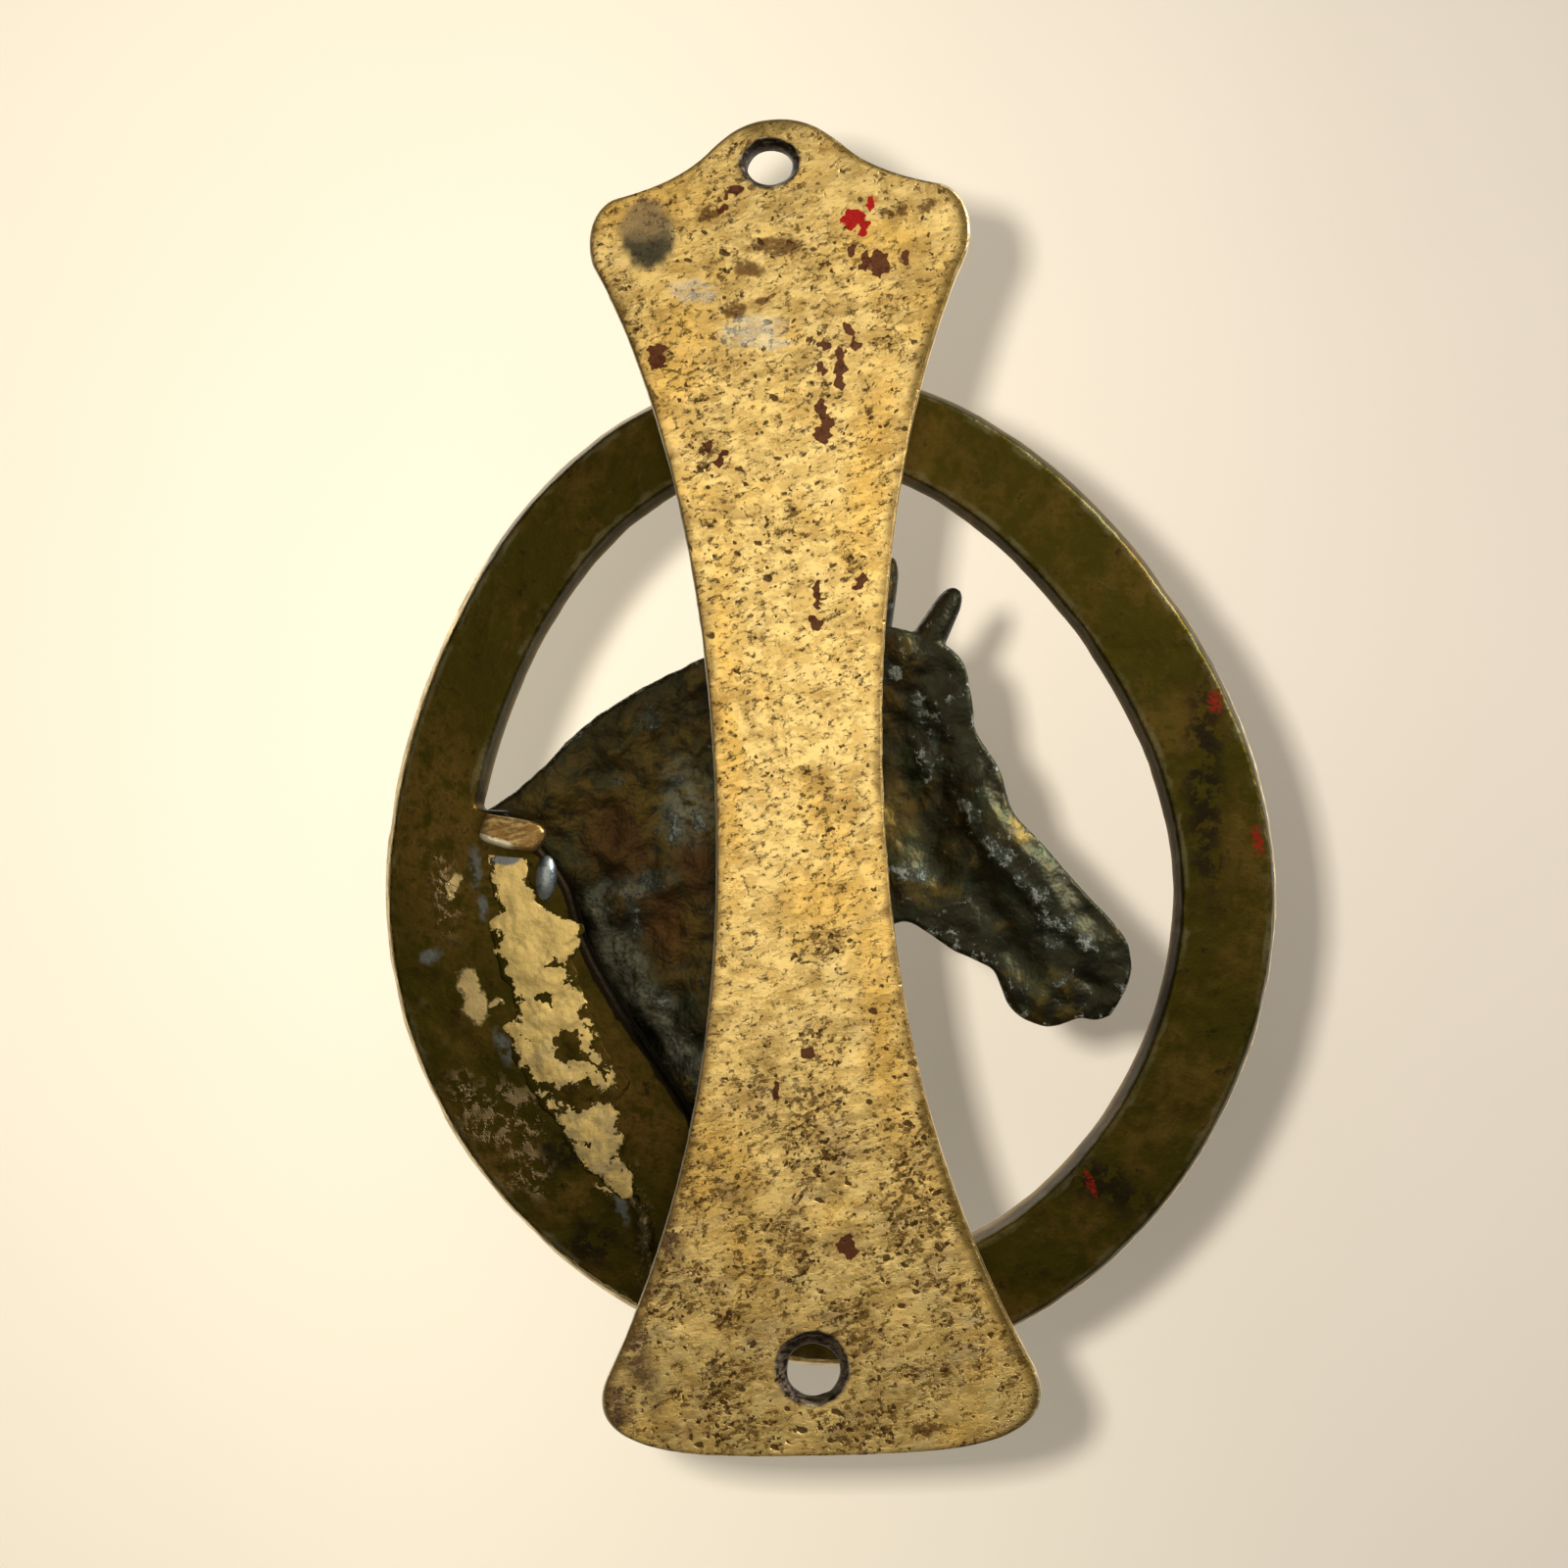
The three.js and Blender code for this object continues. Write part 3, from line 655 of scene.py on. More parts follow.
def plate_brass(settings):
    """Rubbed golden brass: brushed across, mottled, pitted in drifts, with traces of old paint."""
    sheet = Sheet("rubbed plate brass")
    rear = sheet.ease(sheet.axis(1), -1.2, -0.4)
    z = sheet.axis(2)
    low = 1 - sheet.ease(z, -58, -28)
    high = sheet.ease(z, 38, 56)
    cloud = sheet.noise(14, 3, 0.55)
    patch = sheet.noise(4.2, 4, 0.6, sheet.stretched((1.5, 1, 1)))
    grain = sheet.noise(0.9, 4, 0.7, sheet.stretched((2.2, 1, 0.7)))
    brushed = sheet.noise(0.28, 2, 0.6, sheet.stretched((11, 1, 1), 0.05))

    warm = sheet.spots(WARM_ZONES, 0.8, sheet.frayed(5, 2.4))
    warm = (sheet.ease(cloud * 0.55 + patch * 0.45, 0.48, 0.66) * 0.6) | warm * 0.7
    tint = sheet.mix(settings.pale, settings.warm, warm)
    dull = sheet.ease(sheet.noise(6.5, 3, 0.6, sheet.stretched((1.3, 1, 0.8), 0.3)), 0.50, 0.68)
    tint = sheet.mix(tint, settings.grey, dull * (0.25 + 0.45 * low))
    tint = tint * (0.84 + 0.20 * grain + 0.12 * brushed)

    drift = sheet.noise(9, 3, 0.6) * 0.55 + sheet.noise(3.1, 3, 0.6) * 0.45
    busy = sheet.ease(drift, 0.38, 0.60) * (0.40 + 0.50 * (low | high * 0.4))
    busy = busy | sheet.spots(PIT_CLUSTERS, 0.8, sheet.frayed(2.6, 3.0)) * 0.8
    stain = sheet.noise(2.3, 5, 0.72, sheet.stretched((1.4, 1, 0.9), 0.3))
    scab = sheet.noise(1.0, 5, 0.76, sheet.stretched((1.4, 1, 0.8), 0.35))
    smudge = sheet.noise(5.0, 5, 0.68, sheet.stretched((1.6, 1, 0.8), 0.15))
    ochre = sheet.ease(stain + busy * 0.10, 0.48, 0.60) * rear
    olive = sheet.ease(scab + busy * 0.13, 0.56, 0.66) * rear
    tint = sheet.mix(tint, (0.44, 0.25, 0.050), ochre * 0.45)
    muddy = sheet.ease(smudge + low * 0.01 + high * 0.03, 0.50, 0.62) * rear
    tint = sheet.mix(tint, (0.30, 0.17, 0.036), muddy * 0.5)
    tint = sheet.mix(tint, (0.14, 0.068, 0.014), olive * 0.85)
    brown_marks = sheet.spots(BROWN_MARKS, 0.3, sheet.frayed(1.5, 1.5))
    brown_marks = brown_marks * sheet.ease(stain, 0.38, 0.48) * rear
    tint = sheet.mix(tint, (0.11, 0.045, 0.012), brown_marks * 0.85)
    chip = sheet.flakes(0.42)
    crumbs = sheet.noise(1.4, 3, 0.7, sheet.stretched((1.7, 1, 0.8), 0.3, chip))
    fine = sheet.noise(0.55, 3, 0.7, sheet.stretched((1.6, 1, 0.8), 0.25))
    pits = sheet.ease(crumbs + busy * 0.14, 0.68, 0.71) | sheet.ease(fine + busy * 0.10, 0.72, 0.78)
    worm = sheet.noise(1.6, 3, 0.62, sheet.stretched((1.7, 1, 0.75), 0.35)) - 0.5
    quiet = 1 - sheet.ease(scab + busy * 0.1, 0.52, 0.62)
    curls = 1 - sheet.ease((worm | worm * -1) + quiet * 0.2, 0.006, 0.018)
    pits = pits | curls * 0.8
    pits = pits * rear | sheet.ease(sheet.attribute("pit"), 0.12, 0.30)
    tint = sheet.mix(tint, settings.pit, pits * 0.9)
    glint = sheet.noise(0.5, 3, 0.7, sheet.stretched((1.8, 1, 0.8), 0.3))
    glint = sheet.ease(glint, 0.58, 0.70) * (1 - pits)
    tint = sheet.mix(tint, (0.95, 0.80, 0.46), glint * 0.35 * rear)

    ragged = sheet.frayed(1.6, 1.0)
    smear = sheet.spots(WHITE_SMEARS, 0.35, ragged) * sheet.ease(scab, 0.36, 0.52) * rear
    tint = sheet.mix(tint, (0.56, 0.52, 0.40), smear * 0.55)
    tarnish = sheet.spots(TARNISH, 0.7, sheet.frayed(3.0, 1.4)) * rear * sheet.ease(stain, 0.34, 0.54)
    tint = sheet.mix(tint, (0.105, 0.055, 0.032), tarnish * 0.85)
    margin = sheet.attribute("margin")
    # Painted shade: the rounded outline of the rear darkened where it turns from the light
    edge_shade = (1 - sheet.ease(margin + (patch - 0.5) * 4, 0.2, 1.7)) * rear
    tint = sheet.mix(tint, (0.17, 0.095, 0.025), edge_shade * 0.75)
    x = sheet.axis(0)
    # Painted shade: a dark band on the bevel at the -X side, low and high, where it falls in shade
    shaded_side = sheet.ease(x * -1, 5, 9) * (low | high)
    band = (1 - sheet.ease(margin + (stain - 0.5) * 3, 0.5, 2.4)) * shaded_side * rear
    tint = sheet.mix(tint, (0.13, 0.080, 0.018), band * 0.85)
    lit = (1 - sheet.ease(margin, 0.12, 0.34)) * sheet.ease(x, 2, 6) * rear
    tint = sheet.mix(tint, (1.0, 0.92, 0.72), lit * 0.8)
    # Painted shade: the top of the peak darkened where its rounded edge turns from the light
    peak = sheet.ease(z + (patch - 0.5) * 6, 81.6, 84.4) * rear
    tint = sheet.mix(tint, (0.12, 0.085, 0.022), peak * 0.8)
    blot = sheet.spot((17.2, 70.4), (3.5, 4.6), 0.1, 0.22, sheet.frayed(2.0, 1.6)) * rear
    high_part = sheet.ease(z + (stain - 0.5) * 6, 68.5, 71.5)
    soot = sheet.mix((0.050, 0.046, 0.027), (0.17, 0.125, 0.075), high_part)
    tint = sheet.mix(tint, soot, blot * (0.95 - 0.25 * high_part))
    chipped = sheet.flakes(0.75, sheet.frayed(0.7, 0.25))
    paint = sheet.spots(OLD_PAINT, 0.04, chipped) * rear
    tint = sheet.mix(tint, (0.085, 0.018, 0.006), paint * 0.95)
    red = sheet.spots(RED_PAINT, 0.04, chipped) * rear
    tint = sheet.mix(tint, settings.paint, red)

    bright_edge = sheet.ease(sheet.attribute("proud"), 0.045, 0.11)
    tint = sheet.mix(tint, (0.90, 0.76, 0.47), bright_edge * 0.8)
    recess = sheet.ease(sheet.attribute("proud") * -1, 0.02, 0.10) * (1 - rear)
    mouth = sheet.attribute("mouth")
    tint = sheet.mix(tint, settings.pit, recess * 0.75)
    dusty = sheet.ease(grain + low * 0.08, 0.5, 0.68)
    # Painted shade: the screw-hole funnels near-black where they fall in shade, with dusty patches
    tint = sheet.mix(tint, sheet.mix((0.020, 0.012, 0.006), (0.20, 0.15, 0.10), dusty), mouth)
    dirt_and_hole_shade = pits | paint | red | blot | mouth
    rough = 0.34 + 0.12 * grain + 0.12 * olive + 0.22 * dirt_and_hole_shade
    relief = (brushed * 0.005 + grain * 0.03 + patch * 0.05 - pits * 0.05 - olive * 0.03
              - ochre * 0.02 + paint * 0.05)
    return sheet.metal(tint, rough, relief, 1 - 0.15 * (red | paint))


# Marks on the rear of the ring: brass smears, pale mottling, browner patina and traces of paint
BRASS_SMEARS = [
    (45.9, -28.0, 1.5, 2.2, 0.2), (45.2, -31.2, 1.7, 2.0, 0.0), (42.4, -30.6, 1.0, 0.6, 0.2),
    (47.6, -14.6, 0.8, 1.8, -0.5), (27.6, -56.6, 2.4, 0.4, -0.4),
]
PALE_MOTTLE = [
    (40.8, -46.0, 3.4, 4.4, 0.2), (38.8, -53.2, 2.6, 3.4, 0.3), (47.0, -43.6, 2.0, 3.0, 0.2),
    (49.0, -15.0, 1.6, 5.0, 0.1), (23.3, -62.8, 0.9, 5.0, -0.05), (24.4, -57.0, 0.6, 2.6, 0.0),
    (44.0, -48.0, 2.4, 2.0, 0.0),
]
BLUE_EDGE = [
    (44.6, -12.2, 0.8, 2.6, 0.05), (43.6, -17.6, 0.6, 1.6, 0.1), (41.6, -36.4, 0.8, 2.4, 0.35),
    (26.2, -58.6, 0.6, 2.4, 0.3), (51.0, -24.0, 1.4, 1.0, 0.3),
]
RING_BROWN = [
    (49.0, -8.0, 7.0, 16.0, 0.1), (44.0, -52.0, 6.0, 6.0, 0.7), (34.0, -58.0, 5.0, 2.0, 0.5),
    (24.0, -46.0, 4.0, 9.0, 0.5),
]
SOOT = [
    (30.4, -63.6, 3.4, 2.8, 0.3), (34.0, -51.5, 3.0, 2.4, 0.7), (-38.0, -57.0, 8.0, 3.0, -0.6),
    (-54.0, -4.0, 2.5, 16.0, 0.0),
]
RING_PAINT = [
    (-55.6, 6.6, 0.9, 1.5, 0.1), (-60.6, -12.0, 0.7, 2.0, 0.1), (-37.0, -57.4, 0.5, 2.0, 0.3),
]


def patina_layers(sheet, settings):
    """The ring's mottled patina: its colour, and the noises that its relief uses."""
    cloud = sheet.noise(11, 4, 0.6)
    mottle = sheet.noise(2.6, 4, 0.65)
    grain = sheet.noise(0.5, 3, 0.7)
    brown = sheet.ease(cloud * 0.6 + mottle * 0.4, 0.46, 0.62) * 0.7
    placed = sheet.spots(RING_BROWN, 0.7, sheet.frayed(4, 3)) * sheet.ease(mottle, 0.36, 0.56)
    tint = sheet.mix(settings.olive, settings.brown, brown | placed)
    black = sheet.ease(mottle + grain * 0.25, 0.68, 0.86)
    tint = sheet.mix(tint, (0.010, 0.009, 0.002), black * 0.8)
    ochre = sheet.ease(sheet.noise(1.2, 4, 0.7), 0.60, 0.76)
    tint = sheet.mix(tint, (0.085, 0.060, 0.012), ochre * 0.35)
    return tint, mottle, grain


def ring_patina(settings):
    """Dark olive patina, rubbed to bright brass with a painted highlight round the rim, brown-gold
    on the domed front, and painted shade over the web's edge.
    """
    sheet = Sheet("olive ring patina")
    tint, mottle, grain = patina_layers(sheet, settings)
    rear = sheet.ease(sheet.axis(1), -9.6, -8.6)
    inset = sheet.attribute("inset")
    proud = sheet.attribute("proud")
    patch = sheet.noise(5.0, 4, 0.62)
    ragged = sheet.noise(2.6, 5, 0.7)
    soot = sheet.spots(SOOT, 0.6, sheet.frayed(3, 2)) * sheet.ease(ragged, 0.42, 0.52) * rear
    tint = sheet.mix(tint, (0.008, 0.006, 0.003), soot * 0.85)
    mottled = sheet.spots(PALE_MOTTLE, 0.7, sheet.frayed(3, 2.4))
    mottled = mottled * sheet.ease(ragged, 0.49, 0.56) * rear
    tint = sheet.mix(tint, (0.24, 0.165, 0.075), mottled * 0.85)
    smear = sheet.spots(BRASS_SMEARS, 0.25, sheet.frayed(1.6, 1.4)) * rear
    tint = sheet.mix(tint, (0.46, 0.33, 0.13), smear * 0.9)
    scuffed = sheet.ease(proud, 0.015, 0.06) * sheet.ease(patch, 0.4, 0.62) * rear
    scuffed = scuffed * (1 - sheet.ease(inset, 12, 13.5))
    tint = sheet.mix(tint, (0.12, 0.10, 0.045), scuffed * 0.5)
    under = 1 - sheet.ease(sheet.axis(1), -8.7, -8.06)
    # Painted shade: the web's free edge, its front and its proud bumps near-black, as in shade
    web_shade = sheet.ease(inset, 12.5, 14) * (under | sheet.ease(proud, 0.03, 0.07))
    tint = sheet.mix(tint, (0.008, 0.005, 0.002), web_shade)
    blued = sheet.spots(BLUE_EDGE, 0.5, sheet.frayed(1.4, 0.9)) * rear
    tint = sheet.mix(tint, (0.115, 0.120, 0.105), blued * sheet.ease(ragged, 0.36, 0.52) * 0.8)
    paint = sheet.spots(RING_PAINT, 0.3, sheet.frayed(0.8, 0.8)) * sheet.ease(grain, 0.42, 0.55)
    tint = sheet.mix(tint, (0.20, 0.012, 0.006), paint)

    rubbed = (1 - rear) * sheet.ease(patch + proud * 1.5, 0.34, 0.60)
    front = sheet.mix(settings.front, settings.edge, sheet.ease(mottle, 0.45, 0.75) * 0.35)
    front = sheet.mix(tint * 1.6, front, 0.25 + 0.7 * rubbed)
    inner_wall = sheet.ease(inset, 10.9, 11.6)
    face = sheet.ease(sheet.axis(1) * -1, 9.4, 11.0) * (1 - inner_wall * 0.75)
    tint = sheet.mix(tint, front, face)
    # Rubbed bright brass with a painted highlight round the rim where the rim attribute marks it
    rim = sheet.ease(sheet.attribute("rim") + (ragged - 0.5) * 1.6, 0.48, 0.62)
    rim_tint = sheet.mix(settings.edge, (0.26, 0.17, 0.045), sheet.ease(mottle, 0.4, 0.6) * 0.8)
    tint = sheet.mix(tint, rim_tint, rim)
    bright = rim | face * rubbed
    rough = 0.40 + 0.16 * grain - 0.08 * bright
    relief = mottle * 0.12 + grain * 0.03 + smear * 0.10 + mottled * 0.12
    return sheet.metal(tint, rough, relief, 0.97)


# Blue-grey bloom with painted highlights on the rear of the head, neck and mane
BLOOM_AND_HIGHLIGHTS = [
    (-17.6, 5.0, 1.6, 4.2, 0.35), (-17.2, 0.0, 1.0, 1.8, 0.1), (-22.4, -6.4, 1.0, 4.2, 0.55),
    (-26.0, -12.6, 1.2, 3.6, 0.75), (-30.6, -17.8, 1.3, 2.6, 0.65), (-33.6, -23.4, 2.4, 3.0, 0.4),
    (-37.6, -25.0, 1.8, 0.9, -0.4), (-34.4, -30.2, 1.6, 0.6, 0.5), (-14.4, -15.4, 2.4, 1.2, -0.4),
    (20.3, 7.3, 1.6, 1.4, 0.5), (17.4, -1.8, 2.1, 1.3, 0.1), (18.2, -7.4, 1.3, 2.5, 0.2),
    (14.4, -7.2, 0.7, 1.6, 0.3), (25.0, -1.4, 0.9, 0.7, 0.0), (21.4, -15.2, 2.0, 1.4, 0.4),
    (26.4, -15.3, 2.8, 0.8, 0.1), (29.2, -17.2, 0.9, 1.4, 0.3), (23.7, -20.2, 0.9, 2.6, 0.2),
    (20.8, -31.0, 1.1, 5.5, 0.75), (17.2, -40.6, 0.8, 2.4, 0.6), (-11.4, 12.6, 3.0, 1.8, 0.2),
]
# Greenish-grey patina with a painted highlight along the neck's raised rim by the web
NECK_RIM_GREEN_AND_HIGHLIGHT = [
    (28.6, -18.6, 1.2, 2.6, 0.4), (25.6, -25.0, 2.0, 4.6, 0.55), (21.6, -32.0, 2.0, 4.6, 0.65),
    (17.4, -39.0, 1.7, 4.4, 0.6), (23.6, -15.6, 4.6, 1.6, 0.1), (16.0, -4.6, 3.2, 5.4, 0.1),
]
RED_BROWN = [
    (19.6, -21.0, 3.0, 5.0, 0.2), (26.0, -9.0, 4.0, 5.0, 0.4), (15.0, -13.0, 2.0, 4.0, 0.1),
]
NECK_BROWN = [
    (18.0, -4.0, 12.0, 11.0, 0.0), (31.0, -6.0, 8.0, 7.0, 0.3), (17.0, -23.0, 4.6, 9.0, 0.3),
    (-12.6, -6.4, 2.8, 5.4, 0.1),
]


def head_patina(settings):
    """Green-black patina with a blue-grey bloom and painted highlights on its lumps, a greenish
    neck rim with a painted highlight, and rubbed bronze on the relief.
    """
    sheet = Sheet("green-black head patina")
    rear = sheet.ease(sheet.attribute("facing"), -0.3, 0.1)
    cloud = sheet.noise(8, 4, 0.6)
    mottle = sheet.noise(2.0, 4, 0.65)
    grain = sheet.noise(0.45, 3, 0.7)
    proud = sheet.attribute("proud")
    brown = sheet.spots(NECK_BROWN, 0.9, sheet.frayed(4, 3.0))
    brown = (brown * 0.95) | sheet.ease(cloud, 0.52, 0.68) * 0.7
    tint = sheet.mix(settings.dark, settings.brown, brown * sheet.ease(mottle, 0.28, 0.56))
    green = sheet.ease(sheet.noise(5.5, 3, 0.6), 0.52, 0.66)
    tint = sheet.mix(tint, (0.030, 0.036, 0.016), green * 0.6)
    ragged = sheet.noise(1.9, 6, 0.74)
    # Partly a real grey bloom, partly painted highlights where the back's lumps catch the light
    spots = sheet.spots(BLOOM_AND_HIGHLIGHTS, 0.8, sheet.frayed(2.6, 1.6))
    # Greenish-grey patina with a painted highlight on the lit rim of the neck
    rim = sheet.spots(NECK_RIM_GREEN_AND_HIGHLIGHT, 0.7, sheet.frayed(2.4, 1.6)) * rear
    tint = sheet.mix(tint, (0.135, 0.130, 0.082), rim * sheet.ease(ragged, 0.34, 0.56) * 0.85)
    ruddy = sheet.spots(RED_BROWN, 0.8, sheet.frayed(3.0, 2.0)) * rear
    tint = sheet.mix(tint, (0.065, 0.026, 0.008), ruddy * 0.7)
    bloom_and_highlight = sheet.ease(spots * 0.12 + ragged + proud * 0.3, 0.62, 0.72) * rear
    haze_and_sheen = sheet.ease(spots * 0.25 + ragged, 0.56, 0.74) * rear
    tint = sheet.mix(tint, (0.060, 0.068, 0.052), haze_and_sheen * 0.55)
    tint = sheet.mix(tint, settings.bloom_and_highlight, bloom_and_highlight * 0.85)
    rubbed = sheet.ease(proud + (mottle - 0.5) * 0.12, 0.03, 0.16) * (1 - rear)
    tint = sheet.mix(tint, (0.33, 0.20, 0.055), rubbed * 0.8)
    hollow = sheet.ease(proud * -1, 0.03, 0.15)
    tint = sheet.mix(tint, (0.008, 0.007, 0.003), hollow * (0.8 - 0.5 * rear))
    rough = 0.38 + 0.16 * grain + 0.12 * bloom_and_highlight
    relief = mottle * 0.07 + cloud * 0.7 + grain * 0.02 + bloom_and_highlight * 0.10
    return sheet.metal(tint, rough, relief, 0.96)


# Bare islands in the braze run
BARE_ISLANDS = [
    (33.0, -36.6, 1.9, 2.2, 0.3), (31.4, -43.4, 3.0, 2.0, 0.1), (29.6, -39.4, 2.6, 0.5, -0.7),
    (34.0, -25.6, 1.2, 0.6, 0.0), (35.6, -30.2, 1.2, 0.4, -0.7),
]


def filler_brass(settings, ring_settings):
    """Pale brazing brass that thins out in ragged islands to the dark patina beneath it."""
    sheet = Sheet("ragged filler brass")
    dark, mottle, grain = patina_layers(sheet, ring_settings)
    ragged = sheet.noise(2.4, 6, 0.72)
    islands = sheet.spots(BARE_ISLANDS, 0.5, sheet.frayed(1.5, 2.2))
    low = 1 - sheet.ease(sheet.axis(2), -44, -30)
    cover = sheet.attribute("cover") * 0.9 + (ragged - 0.5) * 3.2 - islands * 1.1 - low * 0.2
    mask = sheet.ease(cover, 0.16, 0.26)
    drab = sheet.ease(sheet.noise(2.2, 4, 0.7), 0.50, 0.68)
    pale = sheet.mix(settings.filler, (0.40, 0.29, 0.10), drab * 0.6)
    pale = sheet.mix(pale, (0.36, 0.27, 0.13), low * sheet.ease(mottle, 0.40, 0.60) * 0.8)
    pale = sheet.mix(pale, (0.66, 0.56, 0.33), sheet.ease(grain + mottle * 0.5, 0.86, 0.98) * 0.5)
    tint = sheet.mix(dark, pale, mask)
    # Painted highlight: a blue-grey glint in the dark recess under the tab's lip
    recess_highlight = sheet.spot((40.2, -11.2), (1.9, 0.8), 0.0, 0.3, sheet.frayed(1.0, 0.5))
    tint = sheet.mix(tint, (0.13, 0.15, 0.16), recess_highlight * 0.9)
    relief = mottle * 0.16 + grain * 0.03 + mask * 0.14
    return sheet.metal(tint, 0.46 + 0.12 * grain, relief, 0.97)


def tab_brass():
    """Browned filler with fibres along its lean and a bright lower lip."""
    sheet = Sheet("browned tab brass")
    fibre = sheet.noise(0.8, 4, 0.65, sheet.stretched((4.5, 1, 0.8), 0.25))
    mottle = sheet.noise(1.8, 4, 0.65)
    light = sheet.ease(fibre * 0.7 + mottle * 0.3, 0.44, 0.60)
    tint = sheet.mix((0.20, 0.105, 0.028), (0.40, 0.28, 0.10), light)
    tint = sheet.mix(tint, (0.10, 0.055, 0.014), sheet.ease(mottle + fibre * 0.3, 0.70, 0.86) * 0.8)
    x, z = sheet.axis(0), sheet.axis(2)
    above = z + 8.4 - (x - 43.5) * 0.356 + (mottle - 0.5) * 1.6
    lip = (1 - sheet.ease(above, 0.7, 1.1)) * sheet.ease(x, 38.4, 40.4)
    tint = sheet.mix(tint, (0.90, 0.78, 0.50), lip)
    return sheet.metal(tint, 0.42, fibre * 0.10 + mottle * 0.10, 0.97)


def solder_grey(settings):
    """Soft grey solder with a dull skin."""
    sheet = Sheet("grey solder")
    mottle = sheet.noise(1.3, 4, 0.65)
    tint = sheet.mix(settings.solder, (0.11, 0.13, 0.13), sheet.ease(mottle, 0.42, 0.62))
    return sheet.metal(tint, 0.38 + 0.15 * mottle, mottle * 0.12 + sheet.noise(0.4) * 0.02)


def pin_brass(settings):
    """Brass of the pin and the stud, brown in its hollows and bright where it is struck."""
    sheet = Sheet("struck pin brass")
    mottle = sheet.noise(1.1, 4, 0.65)
    grain = sheet.noise(0.3, 2, 0.6)
    proud = sheet.ease(sheet.attribute("proud"), 0.0, 0.08)
    tint = sheet.mix(settings.pit, settings.warm, sheet.ease(mottle + proud * 0.5, 0.38, 0.66))
    tint = sheet.mix(tint, settings.pale, proud * 0.7)
    return sheet.metal(tint, 0.36 + 0.2 * grain, mottle * 0.08 + grain * 0.02)


# ---- back plate ----

def plate_outline(count):
    """The right half of the plate's outline from peak to foot, as evenly spaced points."""
    t = np.linspace(0, 1, 80)[:, None]
    curves = [(1 - t) ** 3 * a + 3 * (1 - t) ** 2 * t * b + 3 * (1 - t) * t**2 * c + t**3 * d
              for a, b, c, d in np.asarray(PLATE_SIDE, float)[:, :, None, :]]
    return even_steps(np.concatenate(curves), count)


def plate_section(columns=50):
    """Half of the plate's section, from the middle of its rear round the edge to the middle of its
    front, as (inset from the outline, y, share of the way out from the centre line)."""
    out = np.linspace(0, 1, columns)
    rear = np.stack([np.full(columns, 0.5), np.zeros(columns), out], axis=1)
    curl = np.linspace(0, np.pi / 2, 6)[1:]
    rear_edge = np.stack([0.5 - 0.5 * np.sin(curl), -0.5 + 0.5 * np.cos(curl), np.ones(5)], axis=1)
    wall = np.array([(0, -1.1, 1), (0, -1.8, 1), (0, -2.4, 1)])
    front_edge = np.stack([0.5 - 0.5 * np.cos(curl), -2.4 - 0.5 * np.sin(curl), np.ones(5)], axis=1)
    step = np.array([(1.2, -2.9, 1), (2.0, -2.9, 1), (2.5, -2.9, 1), (2.6, -3.1, 1), (2.6, -3.5, 1)])
    field = np.stack([FIELD_INSET + 1.4 - 1.4 * np.cos(curl), -3.8 - np.sin(curl), np.ones(5)], axis=1)
    back = np.linspace(1, 0, columns - 16)[1:]
    front = np.stack([np.full(len(back), 4.0), np.full(len(back), -PLATE_FRONT), back], axis=1)
    return np.concatenate([rear, rear_edge, wall, front_edge, step, field, front])


def plate_body(settings, rows=470):
    """The plate's skin: its section carried down the outline. Each point of the section is moved
    in from the outline along its normal, then drawn towards the centre line, whose points lie a
    little nearer the middle than the outline's, so that the rows fan out at both ends."""
    line = plate_outline(rows)
    along = np.gradient(line, axis=0)
    along /= np.linalg.norm(along, axis=1, keepdims=True)
    along[[0, -1]] = (1, 0), (-1, 0)
    inward = np.stack([along[:, 1], -along[:, 0]], axis=1)
    section = plate_section()
    inset, y, out = section.T
    edge = line[:, None, :] + inward[:, None, :] * inset[None, :, None]
    x = edge[..., 0] * out
    z = edge[..., 1] * (0.86 + 0.14 * out)
    right = xyz(x, y, z)
    left = right[:, -2:0:-1] * (-1, 1, 1)
    points = np.concatenate([right, left], axis=1)
    side = eased(-np.abs(points[..., 1] + 1.45), -1.5, -0.8)
    stray = settings.wobble / MM * unevenness(points * (1, 0.3, 1), 3.5, 5, 3)
    normal = np.concatenate([np.repeat(inward[:, None], right.shape[1], axis=1),
                             np.repeat(inward[:, None], left.shape[1], axis=1) * (-1, 1)], axis=1)
    points[..., 0] += side * np.abs(stray) * normal[..., 0]
    points[..., 2] += side * np.abs(stray) * normal[..., 1]
    return surface("worn_back_plate", points, drawn_in=False)


def hinge_lug(side):
    """A hinge lug: a round-ended tongue in Y and Z with rounded edges, carried along X."""
    reach = -HINGE_Y
    round_end = np.linspace(-np.pi / 2, np.pi / 2, 30)
    end = np.stack([reach + LUG_R * np.cos(round_end), LUG_R * np.sin(round_end)], axis=1)
    flare = through([(SLAB_THICK - 0.5, -6.6), (PLATE_FRONT, -6.2), (PLATE_FRONT + 1.8, -4.9),
                     (reach - 2, -LUG_R)], np.linspace(0, 1, 14))
    outline = np.concatenate([flare, end, flare[::-1] * (1, -1)])
    middle = outline.mean(axis=0)
    curl = np.linspace(0, np.pi / 2, 6)
    levels = [(-LUG_THICK / 2 + 0.7 * (1 - math.sin(a)), 0.7 * (1 - math.cos(a)))
              for a in curl[::-1]]
    levels += [(-h, inset) for h, inset in reversed(levels)]
    rows = []
    for height, inset in levels:
        shrunk = middle + (outline - middle) * (1 - inset / LUG_R)
        x = side * (LUG_INNER + LUG_THICK / 2) + height
        rows.append(xyz(x, -shrunk[:, 0], HINGE_Z + shrunk[:, 1]))
    return surface("lug", np.array(rows))


